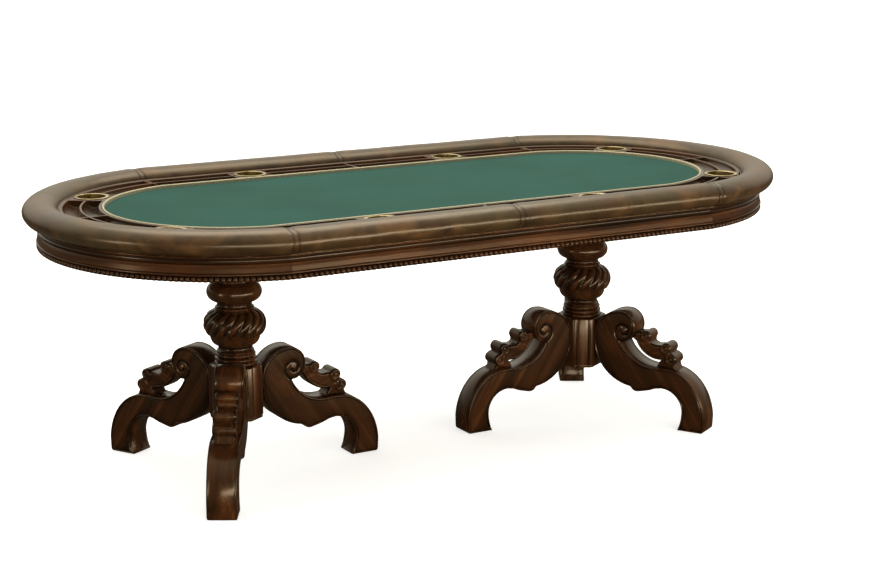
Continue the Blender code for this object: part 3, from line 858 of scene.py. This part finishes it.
def make_chip_rail(side, half, where):
    """One length of the ring, from the middle of a side or end to its seam, with its cup hole."""
    rings, grain, painted_shade = [], [], []
    for along, sunk in chip_stations(side):
        ring, local, dark = [], [], []
        for inset, z, depth in chip_section(sunk):
            curved = side in ("left", "right")
            own = along * (END_RADIUS - inset) / (END_RADIUS - CUP_INSET) if curved else along
            at = min(own, rim_reach(inset, side) - JOINT)
            ring.append(rim_point(inset, z, side, half * at))
            local.append((half * along, inset, z))
            dark.append(depth)
        rings.append(ring)
        grain.append(local)
        painted_shade.append(dark)
    name = f"turned_chip_rail_{where}"
    mesh = skin(name, rings, grain, painted_shade, sharp=50.0)
    made = show(name, mesh, mahogany, [f"chip_rail_{where}"])
    x, y, _ = rim_point(CUP_INSET, 0.0, side, half * CUP_ALONG[side])
    bore = bpy.data.meshes.new("bore")
    bm = bmesh.new()
    bmesh.ops.create_cone(
        bm, cap_ends=True, segments=72, radius1=CUP_HOLE_RADIUS, radius2=CUP_HOLE_RADIUS, depth=0.1
    )
    bm.to_mesh(bore)
    bm.free()
    cutter = bpy.data.objects.new("bore", bore)
    cutter.location = (x, y, rail_high.z)
    bpy.context.scene.collection.objects.link(cutter)
    cut = made.modifiers.new("bore", "BOOLEAN")
    cut.operation = "DIFFERENCE"
    cut.object = cutter
    bpy.context.view_layer.update()
    graph = bpy.context.evaluated_depsgraph_get()
    bored = bpy.data.meshes.new_from_object(made.evaluated_get(graph))
    made.modifiers.clear()
    made.data = bored
    bored.name = name
    bpy.data.objects.remove(cutter)
    return made


cups = {}
for side in ("front", "back", "left", "right"):
    ends = ("left", "right") if side in ("front", "back") else ("front", "back")
    for half, end in zip((-1, 1), ends):
        where = f"{side}_{end}"
        cups[where] = rim_point(CUP_INSET, 0.0, side, half * CUP_ALONG[side])
        rail = make_chip_rail(side, half, where)
print("last chip rail has", len(rail.data.vertices), "points")


# %% [markdown]
# ## Cups
# Each cup drops into its hole and lifts out for washing. It is spun from brass sheet 1.3 mm thick:
# straight sides, a rounded foot, and a flange with a rolled edge that sits on the rail. A profile
# turned about its own axis gives it, and the mesh is shared by all eight.

# %% Cups
def turned(name, profile, sides, sharp=40.0, radius_at=None):
    """A (radius, z) profile turned about Z. radius_at may change the radius by angle and height."""
    rings, grain, painted_shade = [], [], []
    for r, z in profile:
        ring, local, dark = [], [], []
        for i in range(sides):
            angle = math.tau * i / sides
            radius, depth = (r, 0.0) if radius_at is None else radius_at(r, z, angle)
            ring.append((radius * math.cos(angle), radius * math.sin(angle), z))
            local.append((z, radius * math.cos(angle), radius * math.sin(angle)))
            dark.append(depth)
        rings.append(ring)
        grain.append(local)
        painted_shade.append(dark)
    return skin(name, rings, grain, painted_shade, sharp=sharp)


cup_low, cup_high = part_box("cup_holder_front_left")
CUP_FLANGE = (cup_high.x - cup_low.x) / 2.0
CUP_OUT = 0.041
CUP_WALL = 0.0013
flange_top = cup_high.z
flange_seat = rail_high.z + 2.0 * JOINT


def cup_profile():
    """(radius, z) points from the foot's middle, up the outside, over the lip and back down."""
    inner = CUP_OUT - CUP_WALL
    foot = arc((CUP_OUT - 0.005, cup_low.z + 0.005), (0.005, 0.005), -90.0, 0.0, 6)
    edge = arc((CUP_FLANGE - 0.0011, flange_seat + 0.0011), (0.0011, 0.0011), -90.0, 90.0, 8)
    lip = arc((inner + 0.0016, flange_top - 0.0016), (0.0016, 0.0016), 90.0, 180.0, 5)
    bowl = arc((inner - 0.006, cup_low.z + 0.006 + CUP_WALL), (0.006, 0.006), 0.0, -90.0, 6)
    profile = [(0.001, cup_low.z), *foot, (CUP_OUT, flange_seat), *edge]
    profile += [(inner + 0.0034, flange_top - 0.0006), *lip, *bowl, (0.001, cup_low.z + CUP_WALL)]
    return profile


def bowl_painted_shade(radius, z, angle):
    """The radius as it is, and painted shade that darkens the brass down in the bowl; the flange
    stays light.
    """
    return radius, 0.9 * smooth_step(flange_top - 0.003, flange_top - 0.016, z)


cup_mesh = turned("spun_brass_cup", cup_profile(), 72, 40.0, bowl_painted_shade)
for where, (x, y, _) in cups.items():
    node = f"cup_holder_{where}"
    show(f"brass_cup_{where}", cup_mesh, brass, [node], f"cup_{where}", (x, y, 0.0))
print("cups:", len(cups), "each", round((cup_high.z - cup_low.z) * 1000), "mm deep")

# %% [markdown]
# ## Playing surface
# A sheet of felt is stretched over the board and tucked down behind a bead painted cream as a
# painted highlight. Its edge rolls over a soft underlay. The felt is a thin closed shell: loops of
# points that follow the oval, one inside the other, and turn down at the outside. The bead is a
# half round with a small step.

# %% Felt and bead
OVAL_STEPS = 36

felt_low, felt_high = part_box("felt_cloth")
FELT_IN = HALF_WIDTH + felt_low.y
BEAD_OUT = HALF_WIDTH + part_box("felt_bead")[0].y


def make_felt():
    """The sheet, from the middle out over its rolled edge and back underneath."""
    roll = [(0.0, 0.0066), (0.0, 0.0030), (0.0004, 0.0015), (0.0014, 0.0005)]
    roll += [(0.0030, 0.0), (0.012, 0.0)]
    insets = [(FELT_IN + off, felt_high.z - drop) for off, drop in roll]
    insets += [(FELT_IN + 0.03 * i, felt_high.z) for i in range(1, 12)]
    under = [(inset, felt_high.z - 0.0066) for inset, _ in insets[4:]]
    rings = [whole_rim(inset, z, OVAL_STEPS) for inset, z in insets[::-1] + under]
    mesh = skin("felt_sheet", rings, sharp=60.0)
    made = show("felt_sheet", mesh, felt, ["felt_cloth"])
    across = 2.0 * (HALF_WIDTH - FELT_IN)
    length = 2.0 * (END_X - FELT_IN)
    loop = whole_rim(FELT_IN, 0.0, OVAL_STEPS)
    pairs = zip(loop, loop[1:] + loop[:1])
    area = abs(sum(a[0] * b[1] - b[0] * a[1] for a, b in pairs)) / 2.0
    return across, length, area


print("felt cut:", [round(x, 3) for x in make_felt()])
bead_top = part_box("felt_bead")[1].z
bead_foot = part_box("felt_bead")[0].z
bead_half = (FELT_IN - 2.0 * JOINT - BEAD_OUT) / 2.0
bead_round = arc((BEAD_OUT + bead_half, bead_top - bead_half), (bead_half, bead_half),
                 180.0, 0.0, 10)
bead_section_points = [(BEAD_OUT, bead_foot), *bead_round, (BEAD_OUT + 2.0 * bead_half, bead_foot)]
rim_band("painted_highlight_bead", bead_section_points, OVAL_STEPS, painted_highlight_finish, ["felt_bead"])

# %% [markdown]
# ## Turned columns
# Each column is one turning: rings above the hub, a small cup, a bulb carved with eighteen leaning
# lobes, called gadroons, a glossy bun, a neck and a square-shouldered head under the top plate. The
# lathe work is a profile turned about the axis, and the carver's gadroons come from a change of
# radius that runs round the bulb and leans as it climbs.

# %% Columns
GADROONS = 18
GADROON_DEPTH = 0.0060
GADROON_LEAN = math.radians(38.0)
BULB_LOW, BULB_HIGH = 0.3975, 0.4660


def column_profile(foot, top):
    """(radius, z) points of the turning, from the hub to the top plate."""
    profile = [(0.001, foot), (0.0560, foot)]
    profile += arc((0.0545, foot + 0.0050), (0.0055, 0.0048), -85.0, 85.0, 8)
    profile += arc((0.0530, foot + 0.0168), (0.0055, 0.0050), -85.0, 85.0, 8)
    profile += arc((0.0515, foot + 0.0288), (0.0045, 0.0048), -85.0, 80.0, 8)
    profile += arc((0.0620, foot + 0.0500), (0.0150, 0.0150), 230.0, 180.0, 5)
    profile += arc((0.0465, 0.3930), (0.0230, 0.0290), -80.0, -8.0, 9)
    profile += [(0.0708, 0.3925), (0.0716, 0.3940), (0.0708, 0.3955), (0.0670, 0.3965)]
    profile += arc((0.0500, 0.4240), (0.0375, 0.0400), -43.0, 75.0, 22)
    profile += [(0.0535, 0.4660)]
    profile += arc((0.0505, 0.4700), (0.0045, 0.0034), -70.0, 80.0, 6)
    profile += [(0.0490, 0.4765), (0.0482, 0.4800), (0.0488, 0.4835)]
    profile += arc((0.0500, 0.5150), (0.0265, 0.0265), -82.0, 76.0, 20)
    profile += arc((0.0500, 0.5475), (0.0040, 0.0040), -70.0, 80.0, 6)
    profile += [(0.0470, 0.5540), (0.0460, 0.5600), (0.0460, 0.5800), (0.0475, 0.6020)]
    profile += [(0.0520, 0.6200), (0.0600, 0.6330), (0.0680, 0.6385), (0.0700, 0.6410)]
    profile += [(0.0700, top - 0.0010), (0.0690, top)]
    profile.append((0.001, top))
    return profile


def gadrooned(radius, z, angle):
    """The carved radius at a point of the turning, and the painted shade in gadroon hollows and
    necks.
    """
    if not BULB_LOW < z < BULB_HIGH:
        # Painted shade on the narrow parts of the turning below the bun's middle.
        rings = 0.5 if radius < 0.052 and z < 0.50 else 0.0
        return radius, rings
    climb = (z - BULB_LOW) / (BULB_HIGH - BULB_LOW)
    fade = min(1.0, 3.2 * math.sin(math.pi * climb)) ** 0.8
    lobe = abs(math.sin(GADROONS / 2.0 * (angle - GADROON_LEAN * climb)))
    # Painted shade in the gadroons' hollows.
    hollow = (1.0 - lobe**0.7) * fade
    return radius - GADROON_DEPTH * hollow, 1.3 * hollow


def column_middle(side):
    """The X of a column's axis."""
    return sum(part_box(f"{side}_column"), Vector()).x / 2.0


for side in ("left", "right"):
    low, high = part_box(f"{side}_column")
    profile = column_profile(low.z, high.z)
    mesh = turned(f"{side}_turned_column", profile, GADROONS * 12, 45.0, gadrooned)
    place = (column_middle(side), 0.0, 0.0)
    show(f"{side}_turned_column", mesh, mahogany, [f"{side}_column"], place=place)
    print(side, "column at", round(place[0], 4), "with", len(mesh.vertices), "points")

# %% [markdown]
# ## Hubs
# The hub is the block that the three legs are dowelled to. Each of its three free faces has a flat
# upright panel between two grooves, cut with a scratch stock, and the foot of the block steps in.
# It is a plan outline carried up through a few heights.

# %% Hubs
HUB_LEG_FACE = 0.0617
HUB_FREE_FACE = 0.0715
LEG_HALF = 0.040
FREE_HALF = 0.0265
GROOVE_DEPTH = 0.0018
HALF_FACE = [(0.56, 0.0), (0.64, 1.0), (0.72, 0.0), (1.0, 0.2)]  # shares of half width and of depth
FACE_CUTS = [(-share, depth) for share, depth in reversed(HALF_FACE)] + HALF_FACE


def hub_outline():
    """The plan as (x, y, painted shade): each leg's seat, then the free face beside it, darker in
    its grooves.
    """
    points = []
    for leg in range(3):
        local = [(HUB_LEG_FACE, sign * (LEG_HALF - 0.0006), 0.0, 0.0) for sign in (-1.0, 1.0)]
        for share, depth in FACE_CUTS:
            local.append((HUB_FREE_FACE - GROOVE_DEPTH * depth, FREE_HALF * share, 60.0, depth))
        for out, across, degrees, dark in local:
            turn = math.radians(120.0 * leg + degrees)
            x = out * math.cos(turn) - across * math.sin(turn)
            y = out * math.sin(turn) + across * math.cos(turn)
            points.append((x, y, dark))
    return points


def make_hub(side, turn):
    """The plan carried up from the stepped foot to the eased top."""
    low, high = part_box(f"{side}_hub")
    outline = hub_outline()
    steps = [(low.z, 0.955), (low.z + 0.002, 0.975), (low.z + 0.007, 0.975)]
    steps += [(low.z + 0.0085, 0.96), (low.z + 0.010, 1.0)]
    steps += [(high.z - 0.003, 1.0), (high.z - 0.001, 0.99), (high.z, 0.97)]
    rings = [[(x * share, y * share, z) for x, y, _ in outline] for z, share in steps]
    grain = [[(z, x, y) for x, y, _ in outline] for z, _ in steps]
    # Painted shade in the grooves.
    painted_shade = [[dark * 0.9 for _, _, dark in outline] for _ in steps]
    place = (column_middle(side), 0.0, 0.0)
    mesh = skin(f"{side}_panelled_hub", rings, grain, painted_shade, sharp=50.0)
    show(f"{side}_panelled_hub", mesh, mahogany, [f"{side}_hub"],
         place=place, turn=turn)


make_hub("left", 0.0)
make_hub("right", math.pi)
print("hub faces:", HUB_LEG_FACE, HUB_FREE_FACE)

# %% [markdown]
# ## Carved boards
# A leg is sawn from a thick plank and then carved on both sides. So the mesh is made the same way:
# an outline, and over each side a fine net of points that a depth function pushes in. The net's
# points follow the outline at growing distances, and follow the carved lines, so the grooves come
# out crisp; a Delaunay triangulation joins them. The edge of the plank gets an incised line too.

# %% Net of points inside an outline
def resample(outline, step):
    """The closed outline with points no further apart than step; its own corners are kept."""
    points = []
    for start, end in zip(outline, outline[1:] + outline[:1]):
        pieces = max(1, math.ceil(math.dist(start, end) / step))
        for i in range(pieces):
            share = i / pieces
            points.append(tuple(a + (b - a) * share for a, b in zip(start, end)))
    return np.array(points)


def distance_to(points, line, closed):
    """The distance from each point to a polyline."""
    starts = line if closed else line[:-1]
    ends = np.roll(line, -1, axis=0) if closed else line[1:]
    best = np.full(len(points), 1.0)
    for start, end in zip(starts, ends):
        run = end - start
        share = np.clip(((points - start) @ run) / max(run @ run, 1e-12), 0.0, 1.0)
        gap = points - start - share[:, None] * run
        best = np.minimum(best, np.hypot(gap[:, 0], gap[:, 1]))
    return best


def inside(points, line):
    """True for each point inside the closed outline, by counting crossings."""
    found = np.zeros(len(points), bool)
    for start, end in zip(line, np.roll(line, -1, axis=0)):
        crosses = (start[1] > points[:, 1]) != (end[1] > points[:, 1])
        rise = end[1] - start[1] if abs(end[1] - start[1]) > 1e-12 else 1e-12
        x = start[0] + (points[:, 1] - start[1]) * (end[0] - start[0]) / rise
        found ^= crosses & (points[:, 0] < x)
    return found


def inward(line):
    """The unit normal that points into the closed outline at each of its points."""
    run = np.roll(line, -1, axis=0) - np.roll(line, 1, axis=0)
    normal = np.stack([-run[:, 1], run[:, 0]], axis=1)
    normal /= np.maximum(np.hypot(normal[:, 0], normal[:, 1]), 1e-9)[:, None]
    area = np.sum(line[:, 0] * np.roll(line[:, 1], -1) - np.roll(line[:, 0], -1) * line[:, 1])
    return normal if area > 0 else -normal


def net(line, loops, guides, grid):
    """Points over an outline: loops at set distances in, lines beside each guide, and a grid."""
    normal = inward(line)
    low, high = line.min(axis=0), line.max(axis=0)
    kept = []
    for distance in loops:
        candidates = line + normal * distance
        candidates = candidates[inside(candidates, line)]
        kept.append(candidates[distance_to(candidates, line, True) > distance * 0.97])
    xs, ys = np.arange(low[0], high[0], grid), np.arange(low[1], high[1], grid)
    candidates = np.array([(x + (j % 2) * grid / 2.0, y) for j, y in enumerate(ys) for x in xs])
    candidates = candidates[inside(candidates, line)]
    kept.append(candidates[distance_to(candidates, line, True) > loops[-1] + grid * 0.5])
    points = np.concatenate(kept)
    for guide in guides:
        points = points[distance_to(points, guide, False) > 0.0042]
    for guide in guides:
        run = np.gradient(guide, axis=0)
        across = np.stack([-run[:, 1], run[:, 0]], axis=1)
        across /= np.maximum(np.hypot(across[:, 0], across[:, 1]), 1e-9)[:, None]
        for off in (0.0, 0.0009, 0.0018, 0.0032):
            for sign in (1.0, -1.0) if off else (1.0,):
                candidates = guide + across * off * sign
                candidates = candidates[inside(candidates, line)]
                candidates = candidates[distance_to(candidates, line, True) > 0.0035]
                candidates = candidates[distance_to(candidates, guide, False) > off * 0.9]
                points = np.concatenate([points, candidates])
    return points


square = [(0.0, 0.0), (0.06, 0.0), (0.06, 0.06), (0.0, 0.06)]
print("a square's edge in 5 mm steps:", len(resample(square, 0.005)), "points")


# %% Carved board from an outline
def carved_board(name, outline, half_thick, depth_at, guides, step, grid, grain_way):
    """A plank cut to an outline in X and Z, both sides carved to depth_at(points, from_edge)."""
    line = resample(outline, step)
    loops = [0.0005, 0.0012, 0.0022, 0.0034, 0.0044, 0.0054, 0.0066, 0.0082, 0.0104]
    points = np.concatenate([line, net(line, loops, guides, grid)])
    count = len(line)
    edges = [(i, (i + 1) % count) for i in range(count)]
    flat, _, faces, sources, _, _ = geometry.delaunay_2d_cdt(
        [Vector(p) for p in points], edges, [list(range(count))], 1, 1e-6, True
    )
    flat = np.array([tuple(p) for p in flat])
    faces = np.array(faces)
    faces = faces[inside(flat[faces].mean(axis=1), line)]
    from_edge = distance_to(flat, line, True)
    depth = depth_at(flat, from_edge)
    height = half_thick(flat) - depth
    total = len(flat)
    verts = [(x, h, z) for (x, z), h in zip(flat, height)]
    verts += [(x, -h, z) for (x, z), h in zip(flat, height)]
    skin_faces = faces.tolist() + (total + faces[:, ::-1]).tolist()
    found = {source: i for i, listed in enumerate(sources) for source in listed}
    rim = [found[i] for i in range(count)]
    # Painted shade: the deeper a point is carved, the darker it is painted, and the incised line
    # round the plank's edge is darkened too.
    dark = list(np.concatenate([depth, depth]) / 0.0030)
    normal = inward(line)
    levels = [(1.0, 0.0), (0.93, 0.0), (0.895, 0.0009), (0.86, 0.0), (0.0, -0.0003)]
    levels += [(-share, off) for share, off in reversed(levels[:-1])]
    rows = [rim]
    for share, off in levels[1:-1]:
        row = []
        for i, (x, z) in enumerate(line):
            row.append(len(verts))
            across = height[rim[i]] * share
            verts.append((x + normal[i, 0] * off, across, z + normal[i, 1] * off))
            dark.append(off / 0.0012)
        rows.append(row)
    rows.append([total + i for i in rim])
    for upper, lower in zip(rows, rows[1:]):
        for i in range(count):
            j = (i + 1) % count
            skin_faces.append((upper[i], upper[j], lower[j], lower[i]))
    mesh = bpy.data.meshes.new(name)
    mesh.from_pydata(verts, [], skin_faces)
    places = np.array(verts)
    out, up = grain_way
    along = places[:, 0] * out + places[:, 2] * up
    grain = np.stack([along, places[:, 1], places[:, 2] * out - places[:, 0] * up], 1)
    finish_mesh(mesh, grain, np.clip(dark, 0.0, 1.0) ** 0.8, 38.0)
    return mesh


trial = carved_board(
    "trial",
    square,
    lambda flat: np.full(len(flat), 0.01),
    lambda flat, from_edge: np.zeros(len(flat)),
    [],
    0.005,
    0.006,
    (1.0, 0.0),
)
print("a trial square has", len(trial.polygons), "faces")
bpy.data.meshes.remove(trial)

# %% [markdown]
# ## Scroll legs
# The leg runs from a rolled volute at the top, through a hollow, over a knee and down to a flared
# toe. On each side the carver left a rounded bead along both edges with a groove inside it, and
# sank a spiral line into the volute that ends at a small raised eye. The spiral shrinks by the same
# share in every turn, as a shell does.

# %% Leg outline and relief
VOLUTE = (0.148, 0.2955)
EYE = (0.1585, 0.2840)
SPIRAL_START, SPIRAL_END = -88.0, -500.0
SPIRAL_WIDE, SPIRAL_TIGHT = 0.0350, 0.0088


def leg_outline():
    """The plank's outline in X and Z, from the sole up over the knee and back down the inside."""
    foot = [(0.341, 0.0), (0.419, 0.0), (0.4235, 0.004), (0.4245, 0.010)]
    knee = arc((0.300, 0.030), (0.126, 0.153), 4.0, 90.0, 40)
    hollow = arc((0.255, 0.292), (0.1105, 0.1105), 280.0, 203.5, 34)
    volute = arc(VOLUTE, (0.0475, 0.0475), -80.0, 90.0, 40)
    shoulder = arc((0.148, 0.262), (0.086, 0.081), 97.0, 180.0, 26)
    back = arc((0.200, 0.252), (0.138, 0.138), 183.0, 263.0, 34)
    belly = [(0.188, 0.1120), (0.191, 0.1075), (0.197, 0.1035), (0.204, 0.1018), (0.210, 0.1016)]
    belly += [(0.230, 0.1062), (0.247, 0.1105), (0.268, 0.1185)]
    instep = arc((0.287, 0.0545), (0.067, 0.067), 90.0, 0.0, 26)
    toe = [(0.3535, 0.046), (0.3520, 0.034), (0.3490, 0.020), (0.3450, 0.008)]
    return foot + knee + hollow + volute + shoulder + back + belly + instep + toe


def spiral():
    """The line sunk into the volute, which shrinks by the same share in every turn."""
    points = []
    for i in range(111):
        share = i / 110.0
        angle = math.radians(SPIRAL_START + (SPIRAL_END - SPIRAL_START) * share)
        radius = SPIRAL_WIDE * (SPIRAL_TIGHT / SPIRAL_WIDE) ** share
        points.append((EYE[0] + radius * math.cos(angle), EYE[1] + radius * math.sin(angle)))
    return np.array(points)


def edge_bead(from_edge):
    """A quarter round at the edge, a groove 5.4 mm in, and a face that lies a little lower."""
    ease = np.clip(1.0 - from_edge / 0.0034, 0.0, 1.0)
    groove = 0.0024 * np.exp(-(((from_edge - 0.0058) / 0.0013) ** 2))
    face = 0.0010 * np.clip((from_edge - 0.0045) / 0.0020, 0.0, 1.0)
    crown = 0.0006 * np.clip((from_edge - 0.0085) / 0.0150, 0.0, 1.0)
    return 0.0026 * ease**2 + groove + face - crown


def leg_relief(flat, from_edge):
    """How deep each side is carved: the edge bead, the spiral and its raised eye."""
    depth = edge_bead(from_edge)
    line = spiral()
    near = distance_to(flat, line, False)
    to_eye = np.hypot(flat[:, 0] - EYE[0], flat[:, 1] - EYE[1])
    turn = 0.0034 * np.exp(-((near / 0.0017) ** 2)) + 0.0012 * np.exp(-((near / 0.0050) ** 2))
    eye = np.clip(1.0 - (to_eye / 0.0072) ** 2, 0.0, 1.0)
    return depth + turn - 0.0030 * np.sqrt(eye)


leg_mesh = carved_board(
    "scroll_leg",
    leg_outline(),
    lambda flat: np.full(len(flat), LEG_HALF),
    leg_relief,
    [spiral()],
    0.0025,
    0.0045,
    (0.55, -0.83),
)
print("leg mesh:", len(leg_mesh.vertices), "points")

# %% [markdown]
# ## Crests
# Between volute and knee sits a carved crest: an arched leaf with three rolled lobes across it like
# knuckles. Its ends are thinner between the lobes, and each lobe's end shows a small coil. It is
# another carved board, whose thickness swells at the lobes.

# %% Crest outline and relief
LOBES = [((0.3110, 0.2110), 0.0172), ((0.2940, 0.2430), 0.0165), ((0.2290, 0.2740), 0.0155)]
CREST_HALF = 0.032
LOBE_SWELL = 0.0045


def crest_outline():
    """The crest in X and Z: its sole on the knee, three lobes with a leaf between, and the arch."""
    sole = [(0.2640, 0.1842), (0.2820, 0.1842), (0.3000, 0.1838), (0.3120, 0.1826)]
    sole += [(0.3200, 0.1816), (0.3300, 0.1795)]
    lobe_low = arc(LOBES[0][0], (0.0175, 0.0165), -55.0, 55.0, 14)
    lobe_mid = arc(LOBES[1][0], (0.0165, 0.0165), -40.0, 150.0, 20)
    leaf = arc((0.2600, 0.2640), (0.0200, 0.0150), -70.0, -150.0, 10)
    lobe_top = arc(LOBES[2][0], (0.0155, 0.0155), -35.0, 140.0, 20)
    at_volute = arc(VOLUTE, (0.0479, 0.0479), -16.0, -42.0, 8)
    under = arc((0.270, 0.285), (0.080, 0.080), 202.0, 275.0, 26)
    heel = [(0.2720, 0.1990), (0.2700, 0.1930), (0.2660, 0.1875)]
    return sole + lobe_low + lobe_mid + leaf + lobe_top + at_volute + under + heel


def coil(centre, size):
    """The small coil cut in a lobe's end."""
    points = []
    for i in range(50):
        share = i / 49.0
        angle = math.radians(240.0 - 480.0 * share)
        radius = size * (0.62 - 0.42 * share)
        points.append((centre[0] + radius * math.cos(angle), centre[1] + radius * math.sin(angle)))
    return np.array(points)


def crest_thickness(flat):
    """Half the thickness, which swells by LOBE_SWELL at each lobe."""
    thick = np.full(len(flat), CREST_HALF - LOBE_SWELL)
    for (x, z), size in LOBES:
        away = np.hypot(flat[:, 0] - x, flat[:, 1] - z)
        swell = LOBE_SWELL * np.clip(1.25 - away / size, 0.0, 0.25) * 4.0
        thick = np.maximum(thick, CREST_HALF - LOBE_SWELL + swell)
    return thick


arch = np.array(arc((0.270, 0.285), (0.0710, 0.0710), 200.0, 268.0, 40))
crest_guides = [coil(centre, size) for centre, size in LOBES] + [arch]


def crest_relief(flat, from_edge):
    """How deep each side is carved: an eased edge, the coils and the vein along the arch."""
    depth = 0.0045 * np.clip(1.0 - from_edge / 0.0055, 0.0, 1.0) ** 2
    for guide in crest_guides:
        near = distance_to(flat, guide, False)
        depth = depth + 0.0022 * np.exp(-((near / 0.0013) ** 2))
    return depth


crest_mesh = carved_board(
    "carved_crest",
    crest_outline(),
    crest_thickness,
    crest_relief,
    crest_guides,
    0.0016,
    0.0030,
    (0.9, 0.43),
)
print("crest mesh:", len(crest_mesh.vertices), "points")

# %% Place legs and crests
for side, facing in (("left", 0.0), ("right", math.pi)):
    place = (column_middle(side), 0.0, 0.0)
    turns = {"inner": 0.0, "front": -math.tau / 3.0, "back": math.tau / 3.0}
    for way, turn in turns.items():
        around = facing + (turn if side == "left" else -turn)
        for kind, mesh in (("leg", leg_mesh), ("crest", crest_mesh)):
            name = f"{side}_carved_{kind}_{way}"
            node = f"{side}_{kind}_{way}"
            show(name, mesh, mahogany, [node], place=place, turn=around)

# %% [markdown]
# ## Boards that stay as engineered
# The bed, the board under the felt, the rail's cores, the battens and the top plates are plain
# boards, so their engineered shape is right and only the finish changes. A light bevel stands for
# the sanded edges of the battens and plates.

# %% Finish the plain boards
plain = {"table_bed": birch, "playing_board": birch}
for side in ("left", "right"):
    plain[f"{side}_batten"] = pine
    plain[f"{side}_plate"] = pine
for side in ("front", "back", "left", "right"):
    plain[f"rail_core_{side}"] = pine
for node, finish in plain.items():
    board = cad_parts[node]
    for i in range(len(board.material_slots)):
        board.material_slots[i].material = finish
    if node.endswith(("batten", "plate")):
        eased = board.modifiers.new("eased_edges", "BEVEL")
        eased.width = 0.0015
        eased.segments = 2
print("plain boards:", sorted(plain))
